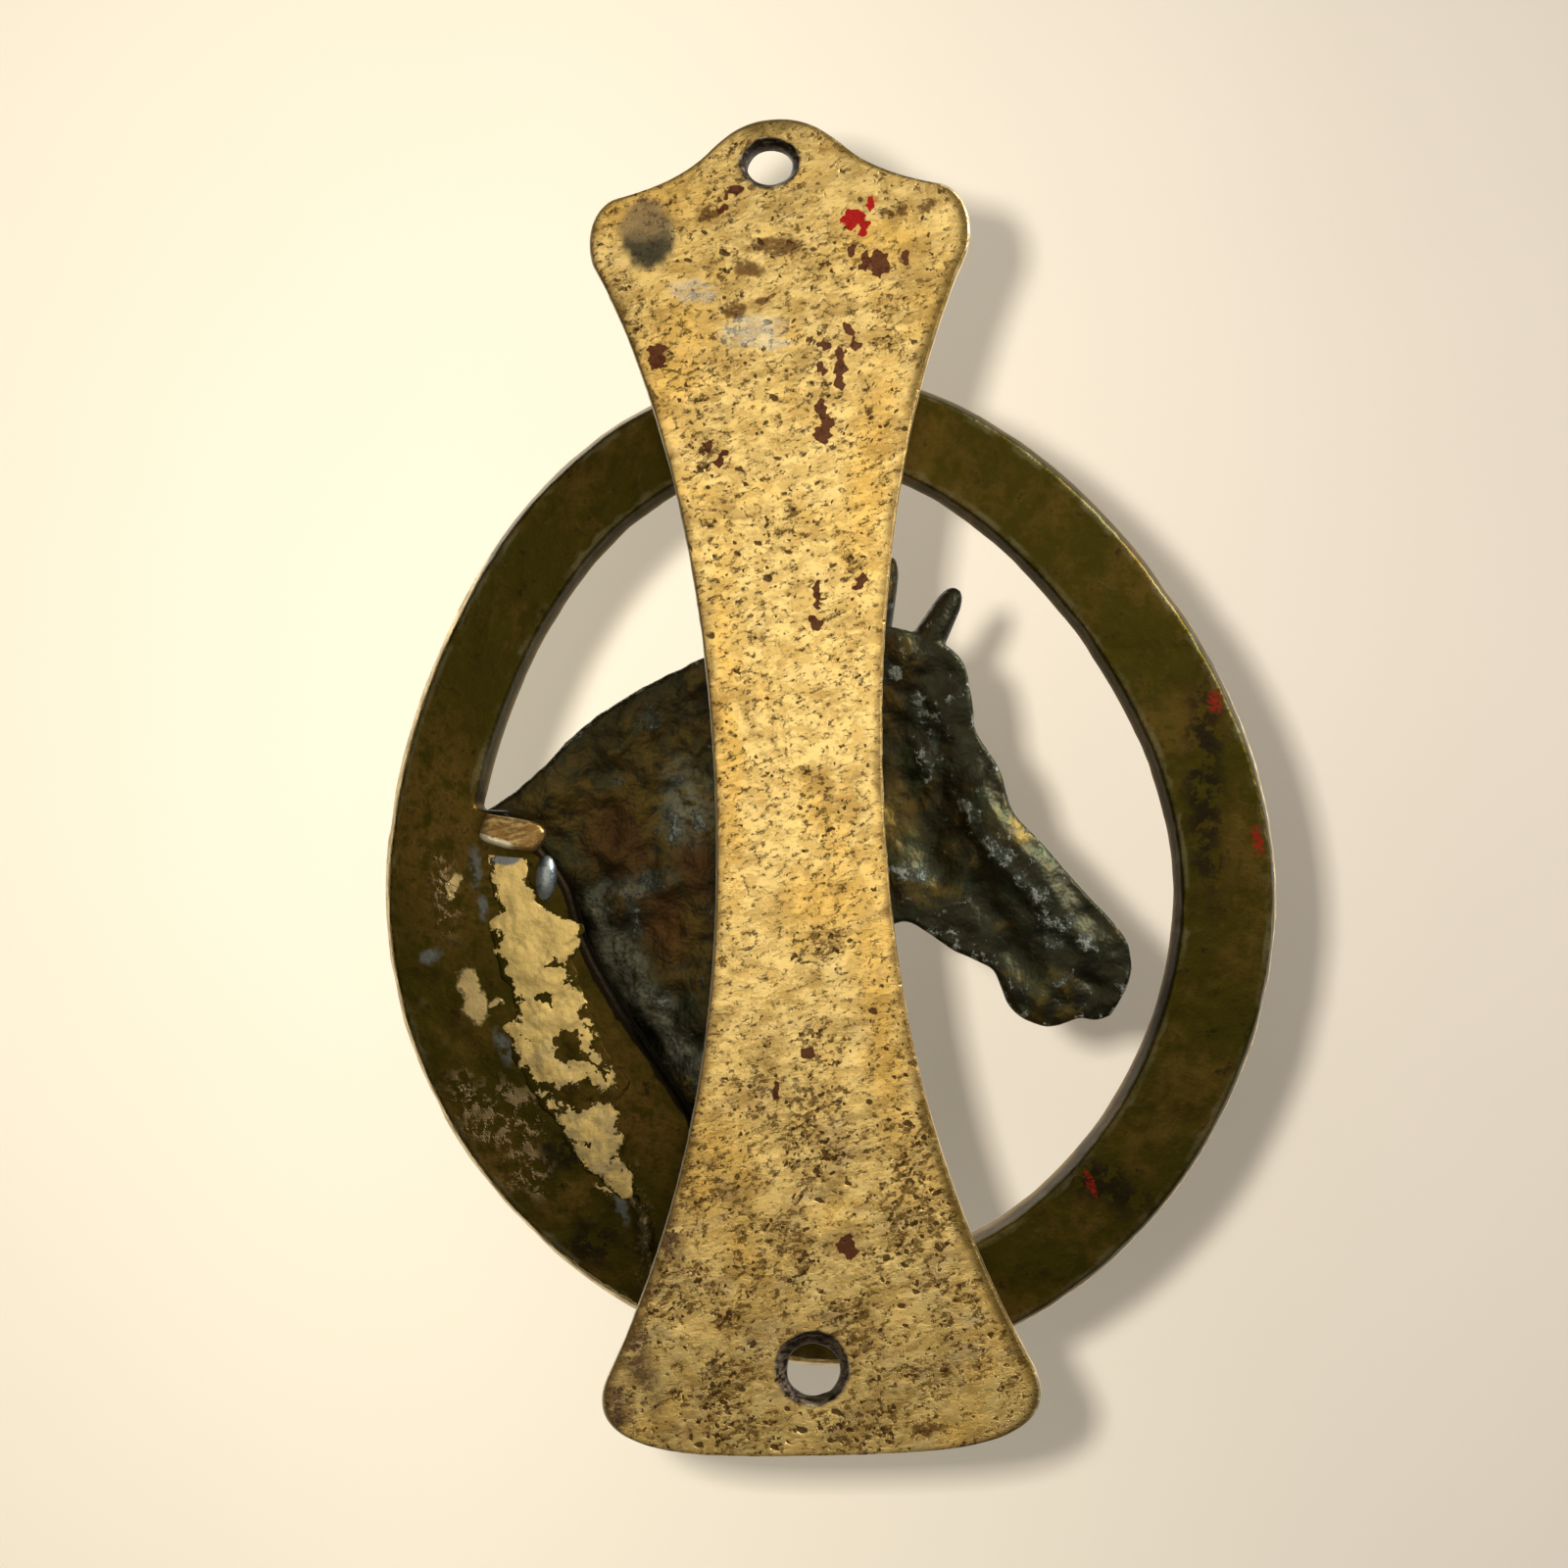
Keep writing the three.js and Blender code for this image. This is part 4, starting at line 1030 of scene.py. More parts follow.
def screw_hole(z, bore, funnel, depth, seed, worn, drop):
    """The shape that a screw hole takes out: a rough funnel, the bore and a countersink. Wear has
    made it `worn` times wider than high, and its bore lies `drop` below the funnel's middle."""
    sink = bore + 1.4
    profile = [(funnel * 1.04, 1), (funnel, 0.05), (funnel * 0.93, -depth * 0.25),
               (bore * 1.06, -depth * 0.8), (bore, -depth * 1.15), (bore, -PLATE_FRONT + 1.4),
               (sink, -PLATE_FRONT), (sink, -PLATE_FRONT - 1)]
    hole = turned("hole", profile, 72, "Y", (0, 0, 0), 0.05, seed)
    points = points_of(hole.data) * np.array([worn, 1, 1]) + np.array([HOLE_X, 0, z])
    points[:, 2] -= drop * eased(-points[:, 1], 0.2, depth)
    place_points(hole.data, points)
    return hole


def hinge_bore(half):
    """The shape that the pin's hole takes out."""
    radius = PIN_R + PIN_GAP
    return turned("bore", [(radius, -half), (radius, half)], 48, "X", (0, HINGE_Y, HINGE_Z))


def back_plate(settings):
    """The plate with its lugs and holes, then pitted and worn on its rear."""
    plate = plate_body(settings)
    combined(plate, [hinge_lug(1), hinge_lug(-1)], "UNION")
    stud_hole = [(1.9, -PLATE_FRONT - 1), (1.9, -2.0)]
    cuts = [screw_hole(*hole) for hole in SCREW_HOLES]
    cuts += [turned("stud_hole", stud_hole, 40, "Y", (0, 0, STUD_Z)), hinge_bore(13.5)]
    combined(plate, cuts, "DIFFERENCE")
    points = points_of(plate.data)
    rear = eased(points[:, 1], -0.5, -0.05)
    low = 1 - eased(points[:, 2], -60, -30)
    busy = eased(unevenness(points, 11, 21, 2), -0.35, 0.5) * (0.6 + 0.4 * low)
    pits = pitting(points + 0.3 * unevenness(points, 1.1, 3, 2)[:, None], 1.7, 31) * busy
    dents = np.clip(unevenness(points, 6, 41, 3), 0, 1) * 0.10
    points[:, 1] -= rear * (pits * settings.pit_depth / MM + dents)
    write_attribute(plate.data, "pit", pits * rear)
    place_points(plate.data, points)
    write_attribute(plate.data, "proud", proudness(plate.data, 4))
    write_attribute(plate.data, "margin", margin_of(points))
    # Painted shade: a mask over each screw hole's funnel, which the finish paints near-black
    mouth = np.zeros(len(points))
    ragged = 0.2 * unevenness(points, 1.2, 47, 2)
    for z, _, funnel, _, _, worn, _ in SCREW_HOLES:
        away = np.hypot((points[:, 0] - HOLE_X) / worn, points[:, 2] - z) + ragged
        mouth = np.maximum(mouth, 1 - eased(away, funnel - 0.15, funnel + 0.35))
    write_attribute(plate.data, "mouth", mouth)
    plate.data.set_sharp_from_angle(angle=math.radians(50))
    return plate


def margin_of(points):
    """How far in from the plate's outline each point lies, across the plate, in millimetres."""
    line = plate_outline(400)[::-1]
    return np.interp(points[:, 2], line[:, 1], line[:, 0]) - np.abs(points[:, 0])


# ---- hinge pin and strike stud ----

def hinge_pin():
    """The pin with a peened head outside each lug: its radius along X, turned once round."""
    shoulder = LUG_INNER + LUG_THICK + PIN_GAP
    curl = np.linspace(0, np.pi / 2, 9)
    radii = [2.9 * math.cos(a) ** 0.7 for a in curl[:-1]] + [0.02]
    head = [(r, shoulder + 0.4 + 0.9 * math.sin(a)) for r, a in zip(radii, curl)]
    neck = [(PIN_R, 4), (PIN_R, shoulder), (2.75, shoulder), (2.9, shoulder + 0.15)]
    rise = neck + head
    profile = [(r, -x) for r, x in reversed(rise)] + rise
    pin = turned("peened_hinge_pin", profile, 64, "X", (0, HINGE_Y, HINGE_Z), 0.025, 17)
    write_attribute(pin.data, "proud", proudness(pin.data, 6))
    return pin


def strike_stud():
    """The stud: a flattened dome on a collar and a shank, turned about a line along Y."""
    crown = RING_REAR + 0.3
    curl = np.linspace(0.02, np.pi / 2, 14)
    dome = [(3.0 * math.sin(a) ** 0.8, crown + 1.7 * (1 - math.cos(a))) for a in curl]
    seat = -PLATE_FRONT - PIN_GAP
    profile = dome + [(3.0, seat - 0.2), (2.8, seat), (1.6, seat), (1.6, -2.3)]
    stud = turned("domed_strike_stud", profile, 64, "Y", (0, 0, STUD_Z), 0.012, 23)
    write_attribute(stud.data, "proud", proudness(stud.data, 6))
    return stud


# ---- ring ----

def band_width(turn):
    """How wide the band is at each turn."""
    return BAND + BAND_SWELL * np.cos(turn - SWELL_TURN)


def egg_radius(turn):
    """The egg in polar form: 63.4 - 3.8 cos 2a - sin 3a + 0.8 cos 4a, a being the turn plus
    RING_LEAN."""
    own = turn + RING_LEAN
    return 63.4 - 3.8 * np.cos(2 * own) - np.sin(3 * own) + 0.8 * np.cos(4 * own)


def egg_point(turn, inset):
    """The egg's line at each turn, moved inwards along its normal."""
    turn, inset = np.broadcast_arrays(turn, inset)

    def at(angle):
        r = egg_radius(angle)
        return np.stack([RING_X + r * np.cos(angle), RING_Z + r * np.sin(angle)], axis=-1)

    along = at(turn + 0.01) - at(turn - 0.01)
    along /= np.linalg.norm(along, axis=-1, keepdims=True)
    return at(turn) + np.stack([-along[..., 1], along[..., 0]], axis=-1) * inset[..., None]


def band(stations=520, steps=36):
    """The band: its section carried round the egg. The rear is flat and tucked in at both edges,
    and the front is a flattened dome: inset w/2 (1 - c|c|^-0.2), depth 2.8 + 4.2 s^0.8."""
    turn = once_round(stations)[:, None]
    width = band_width(turn)
    a = np.linspace(0, np.pi, steps)[None, :]
    dome = (width / 2) * (1 - np.sign(np.cos(a)) * np.abs(np.cos(a)) ** 0.8)
    height = RING_DEPTH - BAND_CROWN + BAND_CROWN * np.abs(np.sin(a)) ** 0.8
    share = np.linspace(1, 0, 10)[None, :]
    flat = REAR_TUCK + (width - 1.8 * REAR_TUCK) * share + 0 * turn
    inset = np.concatenate([flat, dome + 0 * turn], axis=1)
    depth = np.concatenate([0 * flat, height + 0 * turn], axis=1)
    flat_points = egg_point(turn, inset)
    points = xyz(flat_points[..., 0], RING_REAR - depth, flat_points[..., 1])
    return surface("patinated_ring", points, closed_rows=True)


def two_edged(name, first, second, rear, front, swell=0.5, columns=24):
    """A slab between two curves (count, 2) in X and Z: straight across its rear and front, and
    rounded by `swell` along the first curve."""
    share = np.linspace(0, 1, columns)[None, :, None]
    across = first[:, None] * (1 - share) + second[:, None] * share
    out = first - second
    out /= np.linalg.norm(out, axis=1, keepdims=True)
    curl = np.linspace(-np.pi / 2, np.pi / 2, 10)[None, :, None]
    nose = first[:, None] + out[:, None] * (np.cos(curl) - 1) * swell
    middle, half = (rear + front) / 2, abs(rear - front) / 2
    nose_y = middle - half * np.sin(curl[..., 0]) + 0 * first[:, :1]
    across = across + (out * -swell)[:, None] * (1 - share)
    flat = np.concatenate([across[:, ::-1], nose, across], axis=1)
    sides = [np.full(across.shape[:2], y) for y in (rear, front)]
    y = np.concatenate([sides[0], nose_y, sides[1]], axis=1)
    return surface(name, xyz(flat[..., 0], y, flat[..., 1]))


def web():
    """The web between ring and neck: a slab from its free edge to the middle of the band."""
    at = np.linspace(0, 1, 160)
    buried = egg_point(WEB_TURNS[0] + (WEB_TURNS[1] - WEB_TURNS[0]) * at, BAND / 2)
    return two_edged("web", through(WEB_EDGE, at), buried, RING_REAR, WEB_FRONT, 1.0)


def knuckle_neck():
    """The neck between barrel and ring: its width in X widens downwards along two curves, and its
    edges are rounded."""
    at = np.linspace(0, 1, 40)
    left = through([(-KNUCKLE_HALF, 60.5), (-KNUCKLE_HALF, 56.5), (-8.2, 53.0), (-15.5, 47.6)], at)
    right = through([(KNUCKLE_HALF, 60.5), (KNUCKLE_HALF, 56.5), (8.6, 53.2), (17.0, 48.2)], at)
    a = once_round(48)
    corner = np.stack([np.sign(np.cos(a)) * np.abs(np.cos(a)) ** 0.3,
                       np.sign(np.sin(a)) * np.abs(np.sin(a)) ** 0.45], axis=1)
    middle, half = (left + right) / 2, (right - left) / 2
    x = middle[:, :1] + half[:, :1] * corner[:, 0]
    z = middle[:, 1:] + half[:, 1:] * corner[:, 0]
    return surface("neck", xyz(x, NECK_Y + NECK_HALF * corner[:, 1], z))


def knuckle_barrel():
    """The barrel that turns on the pin, its ends chamfered."""
    half = KNUCKLE_HALF
    profile = [(KNUCKLE_R - 0.5, -half), (KNUCKLE_R, -half + 0.5), (KNUCKLE_R, half - 0.5),
               (KNUCKLE_R - 0.5, half)]
    return turned("barrel", profile, 64, "X", (0, HINGE_Y, HINGE_Z))


def rough_nub():
    """The rough end of the braze on the web's foot: a lumpy ridge along a bent line."""
    at = np.linspace(0, 1, 40)
    line = through([(24.2, -57.4), (23.4, -60.5), (23.2, -64.5), (22.4, -67.6)], at)
    a = once_round(24)
    size = 1.15 * np.sin(np.pi * (0.06 + 0.88 * at)) ** 0.5
    x = line[:, :1] + size[:, None] * np.cos(a)
    y = RING_REAR - 0.35 + size[:, None] * 0.75 * np.sin(a)
    points = xyz(x, y, line[:, 1:])
    return surface("nub", points + 0.35 * unevenness(points, 1.6, 61, 2)[..., None])


def knocker_ring(settings):
    """Band, knuckle and web blended into one casting, with an uneven skin."""
    parts = [web(), knuckle_neck(), knuckle_barrel(), rough_nub()]
    ring = blended(band(), parts, settings.voxel, 3)
    points, normals = points_of(ring.data), normals_of(ring.data)
    lumps = settings.lumps / MM * unevenness(points, 5.5, 51, 3)
    free = eased(HINGE_Z - points[:, 2], 4, 8)
    skin = np.minimum(lumps, 0.02) * free
    place_points(ring.data, points + normals * skin[:, None])
    combined(ring, [hinge_bore(9)], "DIFFERENCE")
    points = points_of(ring.data)
    turn = np.arctan2(points[:, 2] - RING_Z, points[:, 0] - RING_X)
    inset = egg_radius(turn) - np.hypot(points[:, 0] - RING_X, points[:, 2] - RING_Z)
    # The rim: rubbed brass with a painted highlight, widest towards +X, narrower towards -X and -Z
    left = eased(np.cos(turn + 0.45), 0.1, 0.5)
    right = eased(np.cos(turn + 2.3), 0.0, 0.5)
    wide = 0.1 + 1.2 * left + 0.4 * right
    rim = (1 - eased(inset, wide - 0.5, wide + 0.5)) * np.maximum(left, right)
    write_attribute(ring.data, "inset", inset)
    write_attribute(ring.data, "rim", rim)
    write_attribute(ring.data, "proud", proudness(ring.data, 8))
    return ring


# ---- horse's head ----

def head_point(along, across):
    """A point of the silhouette: straight from the crest's curve to the throat's. At the foot of
    the neck the rows bow out to the ring's inner line, and that bow fades up the neck."""
    def straight(at):
        share = across[..., None]
        return through(HEAD_UPPER, at) * (1 - share) + through(HEAD_LOWER, at) * share

    turn = NECK_TURNS[0] + (NECK_TURNS[1] - NECK_TURNS[0]) * across
    bow = egg_point(turn, band_width(turn) + NECK_SINK) - straight(np.zeros_like(along))
    fade = np.clip(1 - along / NECK_FADE, 0, None) ** 2
    return straight(along) + bow * fade[..., None]


# Forms of the head in millimetres: height, shape, and where the shape lies with its sizes.
# The face on the front: eye, cheek, bones, nostril and lips.
FACE_FORMS = [
    (-1.5, hill, (-19.8, 0.0), (4.6, 3.2), -2.03),
    (1.75, hill, (-20.2, 0.6), (2.0, 1.45), -2.03),
    (0.9, hill, (-21.6, 4.4), (3.8, 1.5), -2.6),
    (1.0, ridge, (-21.4, 2.6), (-18.2, 2.2), 0.8),
    (0.7, ridge, (-21.6, -1.4), (-18.4, -0.8), 0.6),
    (1.5, hill, (-14.6, -11.4), (8.2, 8.8), 0.2),
    (-1.1, ridge, (-23.6, -8.2), (-25.0, -25.5), 2.3),
    (-0.9, ridge, (-5.6, -3.0), (-9.6, -19.6), 1.8),
    (1.1, ridge, (-22.6, -3.6), (-29.4, -15.4), 1.3),
    (-0.9, ridge, (-25.6, -14.6), (-33.4, -25.0), 2.0),
    (0.9, ridge, (-26.2, -3.6), (-38.4, -20.4), 1.2),
    (1.2, hill, (-38.8, -25.4), (3.6, 2.7), -2.2),
    (-2.1, hill, (-40.2, -25.6), (1.8, 0.9), -2.3),
    (0.8, ridge, (-38.6, -24.0), (-39.2, -27.6), 0.8),
    (-1.2, ridge, (-43.6, -32.6), (-35.0, -29.6), 0.65),
    (0.7, ridge, (-41.0, -30.2), (-36.4, -28.0), 1.5),
    (0.9, hill, (-36.6, -33.0), (3.4, 1.9), 0.3),
    (0.6, ridge, (-33.0, -33.4), (-21.0, -23.0), 1.4),
]

# The neck on the front: a long swelling, the furrow before the throat and a fold at the jaw
NECK_FORMS = [
    (1.0, ridge, (2.0, -6.0), (20.0, -34.0), 6.5),
    (-1.3, ridge, (-3.0, -16.0), (9.0, -44.0), 2.2),
    (0.8, ridge, (-5.0, -22.0), (4.0, -48.0), 2.0),
    (-0.6, ridge, (10.0, -6.0), (28.0, -26.0), 1.8),
]

# The hollow back: a keel down the nose, hollows beside it and a rim at the jaw
REAR_FORMS = [
    (0.9, ridge, (-19.0, 8.0), (-24.5, -8.0), 2.2),
    (1.1, ridge, (-24.5, -8.0), (-37.0, -25.0), 2.4),
    (-0.8, ridge, (-13.0, 4.0), (-18.0, -16.0), 3.0),
    (0.6, hill, (-13.6, -15.6), (4.5, 3.0), 0.4),
    (-0.9, ridge, (-24.0, -17.0), (-30.0, -29.0), 2.0),
    (-0.7, hill, (-38.0, -30.5), (2.6, 1.2), 0.5),
]


def added(x, z, forms, start=0):
    """The forms' hills and ridges, added up on top of `start`."""
    return sum((height * shape(x, z, *where) for height, shape, *where in forms), start)


def mane_relief(along, across, x, z):
    """Locks of mane that fall from the crest over the front of the neck: waves across the crest
    that lean backwards, with a ragged lower edge."""
    sway = unevenness(xyz(x, 0, z), 7, 71, 2)
    locks = np.sin(150 * along + 9 * across + 2.4 * sway)
    strands = np.sin(470 * along + 26 * across + 5 * sway)
    lower = 0.36 + 0.05 * np.sin(38 * along + sway) + 0.03 * np.sin(101 * along)
    reach = (1 - eased(across, lower - 0.06, lower + 0.02)) * eased(across, 0.0, 0.04)
    span = 1 - eased(along, 0.36, 0.43)
    return span * reach * (0.75 + 0.55 * locks * np.abs(locks) ** 0.2 + 0.16 * strands)


def rear_relief(x, z, points, lumps):
    """The hollow back: sagging lumps, with a keel down the nose and a rim at the jaw."""
    sag = lumps * (unevenness(points, 7.5, 81, 2) + 0.45 * unevenness(points, 2.4, 91, 2))
    return added(x, z, REAR_FORMS, sag)


def head_skin(settings, stations=330, around=300):
    """The neck and head: closed rows across the silhouette from ring to lips. Each row's front is a
    dome s^0.75 with the relief on it, and its rear is a rim round a hollow."""
    along = np.linspace(0, 1, stations)[:, None]
    turn = once_round(around)[None, :]
    along, turn = np.broadcast_arrays(along, turn)
    across = (1 - np.cos(turn)) / 2
    flat = head_point(along, across)
    x, z = flat[..., 0], flat[..., 1]
    swell = np.abs(np.sin(turn))
    points = xyz(x, 0, z)
    height = 6.4 + 1.6 * np.sin(np.pi * np.minimum(1, along * 1.25)) - 2.4 * along**4
    mane = mane_relief(along, across, x, z)
    relief = added(x, z, FACE_FORMS) + mane + added(x, z, NECK_FORMS)
    foot = eased(along, 0.0, 0.07)
    front = (height - 1.1) * swell**0.62 * (0.5 + 0.5 * foot)
    front = front + relief * eased(swell, 0.12, 0.5) * foot
    front = np.clip(front, 0, 8.9)
    hollow = 2.6 * eased(0.62 - along, 0, 0.35)
    hard = rear_relief(x, z, points, settings.lumps / MM) * eased(swell, 0.1, 0.6)
    rear = 0.8 * swell**0.5 - hollow * swell**3 + np.clip(hard, -2.2, 1.0)
    y = HEAD_RIM_Y + np.where(turn < np.pi, -front, rear)
    edge = 0.10 * unevenness(points, 2.0, 101, 2) * (1 - eased(swell, 0.0, 0.4))
    return surface("cast_horse_head", xyz(x + edge, y, z + edge))


def ear(root, tip, y, half, thick):
    """A leaf-shaped ear from root to tip, narrowing to a blunt tip, hollowed down its front."""
    root, tip = np.array(root), np.array(tip)
    share = np.linspace(0.01, 0.99, 50)[:, None]
    turn = once_round(44)[None, :]
    width = half * (1.12 - 0.5 * share) * np.sqrt(1 - np.clip((share - 0.78) / 0.23, 0, 1) ** 2)
    out = (tip - root) / np.linalg.norm(tip - root)
    across = width * np.cos(turn)
    x = root[0] + (tip[0] - root[0]) * share + across * out[1]
    z = root[1] + (tip[1] - root[1]) * share - across * out[0]
    groove = 1.5 * np.exp(-((across / (0.5 * half)) ** 2)) * np.sin(np.pi * share)
    groove = groove * (np.sin(turn) > 0)
    depth = thick * (1 - share**3) ** 0.5 * np.sin(turn) - groove
    return surface("ear", xyz(x, y - depth, z))


def horse_head(settings):
    """Head and ears blended into one casting."""
    ears = [ear((-15.8, 13), (-22.2, 23.6), HEAD_RIM_Y - 1.6, 2.5, 2.2),
            ear((-9.6, 14), (-13.3, 28.6), HEAD_RIM_Y - 4, 2.4, 2.0)]
    head = blended(head_skin(settings), ears, settings.voxel, 2)
    write_attribute(head.data, "proud", proudness(head.data, 16))
    write_attribute(head.data, "facing", normals_of(head.data)[:, 1])
    return head


# ---- braze and solder ----

def braze_run(settings):
    """The poured run: a thin lens between its two edges, with a lumpy top and a flat underside.
    Across it the height goes as (4 v (1 - v))^0.45."""
    at = np.linspace(0, 1, 260)
    sway = 0.7 * unevenness(xyz(at * 60, 0, 0), 4, 111, 3)
    outer, inner = through(BRAZE_OUTER, at), through(BRAZE_INNER, at)
    outer[:, 0] += sway
    inner[:, 0] += 0.6 * unevenness(xyz(at * 60, 9, 0), 3, 121, 3)
    share = np.linspace(0, 1, 90)
    flat = outer[:, None] * (1 - share[None, :, None]) + inner[:, None] * share[None, :, None]
    points = xyz(flat[..., 0], 0, flat[..., 1])
    ends = np.sin(np.pi * (0.02 + 0.96 * at))[:, None] ** 0.4
    crown = np.clip(4 * share * (1 - share), 0, 1) ** 0.45 * ends
    bumps = 0.75 + 0.3 * unevenness(points, 3.0, 131, 3)
    top, under = points.copy(), points.copy()
    top[..., 1] = RING_REAR - 0.05 + settings.height / MM * crown * bumps
    under[..., 1] = RING_REAR - 0.35
    run = surface("poured_braze_run", np.concatenate([top, under[:, -2:0:-1]], axis=1))
    place = points_of(run.data)
    write_attribute(run.data, "cover", cover_of(place, outer, inner))
    return run


def cover_of(points, outer, inner):
    """0 at the run's edges and 1 along its middle: 4 v (1 - v), v being the share across."""
    order = np.argsort(outer[:, 1])
    a = np.interp(points[:, 2], outer[order, 1], outer[order, 0])
    order = np.argsort(inner[:, 1])
    b = np.interp(points[:, 2], inner[order, 1], inner[order, 0])
    share = np.clip((points[:, 0] - b) / np.maximum(a - b, 0.1), 0, 1)
    return 4 * share * (1 - share)


def braze_tab():
    """The tab that bridges crest and ring: an uneven pad whose rows shrink to its crown."""
    outline = through(TAB_EDGE, np.linspace(0, 1, 81))[:-1]
    middle = outline.mean(axis=0)
    rows = []
    for shrink, rise in TAB_LEVELS:
        y = RING_REAR + rise
        at = middle + (outline - middle) * shrink
        rows.append(xyz(at[:, 0], y, at[:, 1]))
    rows = np.array(rows)
    rows[2:, :, 1] += 0.12 * unevenness(rows[2:], 1.8, 141, 2)
    tab = surface("braze_bridge_tab", rows)
    write_attribute(tab.data, "proud", proudness(tab.data, 4))
    return tab


def solder_bead():
    """The bead: half an ellipsoid lying on the web, dented by noise."""
    share = np.linspace(0.03, np.pi - 0.03, 40)[:, None]
    turn = once_round(48)[None, :]
    x = 1.5 * np.sin(share) * np.cos(turn)
    z = 3.1 * np.cos(share) + 0 * turn
    y = np.maximum(1.2 * np.sin(share) * np.sin(turn), -0.3)
    x, z = x * math.cos(-0.1) + z * math.sin(-0.1), z * math.cos(-0.1) - x * math.sin(-0.1)
    points = xyz(BEAD_X + x, RING_REAR + y, BEAD_Z + z)
    dent = 1 - 0.12 * np.clip(unevenness(points, 1.5, 151, 2), 0, 1)
    points[..., 1] = RING_REAR + (points[..., 1] - RING_REAR) * dent
    return surface("solder_bead_drop", points)


# ---- stage ----

CAMERA_PLACE = (-0.0099, 0.2742, -0.0010)
CAMERA_AIM = (0.0019, 0, -0.0023)
CAMERA_ROLL = -2.05
SKY_STRENGTH = 0.20
CREAM, COOL = (1, 0.95, 0.87), (0.95, 0.97, 1.0)
MIDDLE = (0, 0, 0)

# Lamps: name, place, size, watts, tint and aim, those for the backdrop alone and those for the rest
PAPER_LAMPS = [("paper lamp", (0.20, 0.90, 0.30), 1.1, 7.0, CREAM, MIDDLE)]
METAL_LAMPS = [
    ("key lamp", (0.01, 0.45, 0.035), 0.3, 0.54, CREAM, MIDDLE),
    ("cool lamp", (-0.34, 0.16, 0.22), 0.16, 4.2, COOL, (-0.02, 0, 0)),
    ("front lamp", (0.35, -0.60, 0.45), 0.5, 7.0, CREAM, MIDDLE),
    ("front fill", (-0.5, -0.55, 0.1), 0.5, 3.0, COOL, MIDDLE),
]


def lamp(name, place, size, power, tint, aim, lights):
    """A square area lamp that faces a point and lights what its collection says."""
    data = bpy.data.lights.new(name, "AREA")
    data.size = size
    data.energy = power
    data.color = tint
    thing = bpy.data.objects.new(name, data)
    bpy.context.scene.collection.objects.link(thing)
    thing.location = place
    thing.rotation_euler = (Vector(aim) - Vector(place)).to_track_quat("-Z", "Y").to_euler()
    thing.light_linking.receiver_collection = lights


def lighting_group(name, thing, state):
    """A collection for lamps that either lights the thing alone or leaves it out."""
    group = bpy.data.collections.new(name)
    group.objects.link(thing)
    group.collection_objects[0].light_linking.link_state = state
    return group


def backdrop_paper(settings):
    """Cream paper with painted shade: darker and cooler towards -X, away from the light. Its
    reverse isn't there, so the knocker can be seen from in front too."""
    sheet = Sheet("cream paper")
    x = sheet.axis(0)
    side = sheet.ease(x, -160, 110)
    r, g, b = settings.paper
    # Painted shade: the paper darker and cooler towards -X, where less light falls
    tint = sheet.mix((r * 0.80, g * 0.79, b * 0.84), (r, g, b), side)
    tint = tint * (0.985 + 0.03 * sheet.noise(60, 2))
    paper = sheet.add("ShaderNodeBsdfDiffuse", inputs={"Color": tint})
    clear = sheet.add("ShaderNodeBsdfTransparent")
    behind = sheet.add("ShaderNodeNewGeometry", output="Backfacing")
    sheet.add_output(sheet.add("ShaderNodeMixShader", inputs={0: behind, 1: paper, 2: clear}))
    return sheet.material


def backdrop(settings):
    """A large upright sheet in front of the knocker, facing its rear."""
    half = 2.5
    y = -settings.backdrop
    mesh = bpy.data.meshes.new("backdrop")
    corners = [(-half, y, -half), (-half, y, half), (half, y, half), (half, y, -half)]
    mesh.from_pydata(corners, [], [(0, 1, 2, 3)])
    mesh.materials.append(backdrop_paper(settings))
    sheet = piece("backdrop", mesh)
    sheet.visible_shadow = False
    return sheet


def camera(settings):
    """The camera behind the plate, turned a little so that the knocker leans to one side."""
    data = bpy.data.cameras.new("camera")
    data.lens = settings.lens
    data.sensor_width = 36
    data.clip_start = 0.01
    thing = bpy.data.objects.new("camera", data)
    bpy.context.scene.collection.objects.link(thing)
    place, aim = Vector(CAMERA_PLACE), Vector(CAMERA_AIM)
    look = (aim - place).to_track_quat("-Z", "Y").to_matrix()
    roll = Matrix.Rotation(math.radians(CAMERA_ROLL), 3, "Z")
    thing.matrix_world = Matrix.Translation(place) @ (look @ roll).to_4x4()
    bpy.context.scene.camera = thing
    return thing


def surround(settings):
    """Even pale light from all round."""
    world = bpy.data.worlds.new("surround")
    world.use_nodes = True
    light = world.node_tree.nodes["Background"]
    light.inputs["Color"].default_value = (*settings.sky, 1)
    light.inputs["Strength"].default_value = SKY_STRENGTH
    bpy.context.scene.world = world


# ---- operators ----

class Maker:
    """What the operators share: each calls its own `make` and reports that it is done."""

    bl_options = {"REGISTER", "UNDO"}

    def execute(self, context):
        """Builds the piece."""
        self.make(context.scene)
        return {"FINISHED"}


class KNOCKER_OT_stage(Maker, bpy.types.Operator):
    """Add the camera, the backdrop and the lights"""

    bl_idname = "knocker.stage"
    bl_label = "Stage"

    def make(self, scene):
        settings = scene.knocker_stage
        scene.view_settings.view_transform = "Standard"
        eye = camera(settings)
        surround(settings)
        sheet = backdrop(settings)
        paper = lighting_group("backdrop alone", sheet, "INCLUDE")
        metal = lighting_group("all but the backdrop", sheet, "EXCLUDE")
        beside = eye.matrix_world.to_3x3() @ Vector((-0.021, 0.009, 0))
        lamp("shadow lamp", eye.location + beside, 0.011, 1.3, CREAM, MIDDLE, paper)
        for group, lamps in ((paper, PAPER_LAMPS), (metal, METAL_LAMPS)):
            for row in lamps:
                lamp(*row, group)


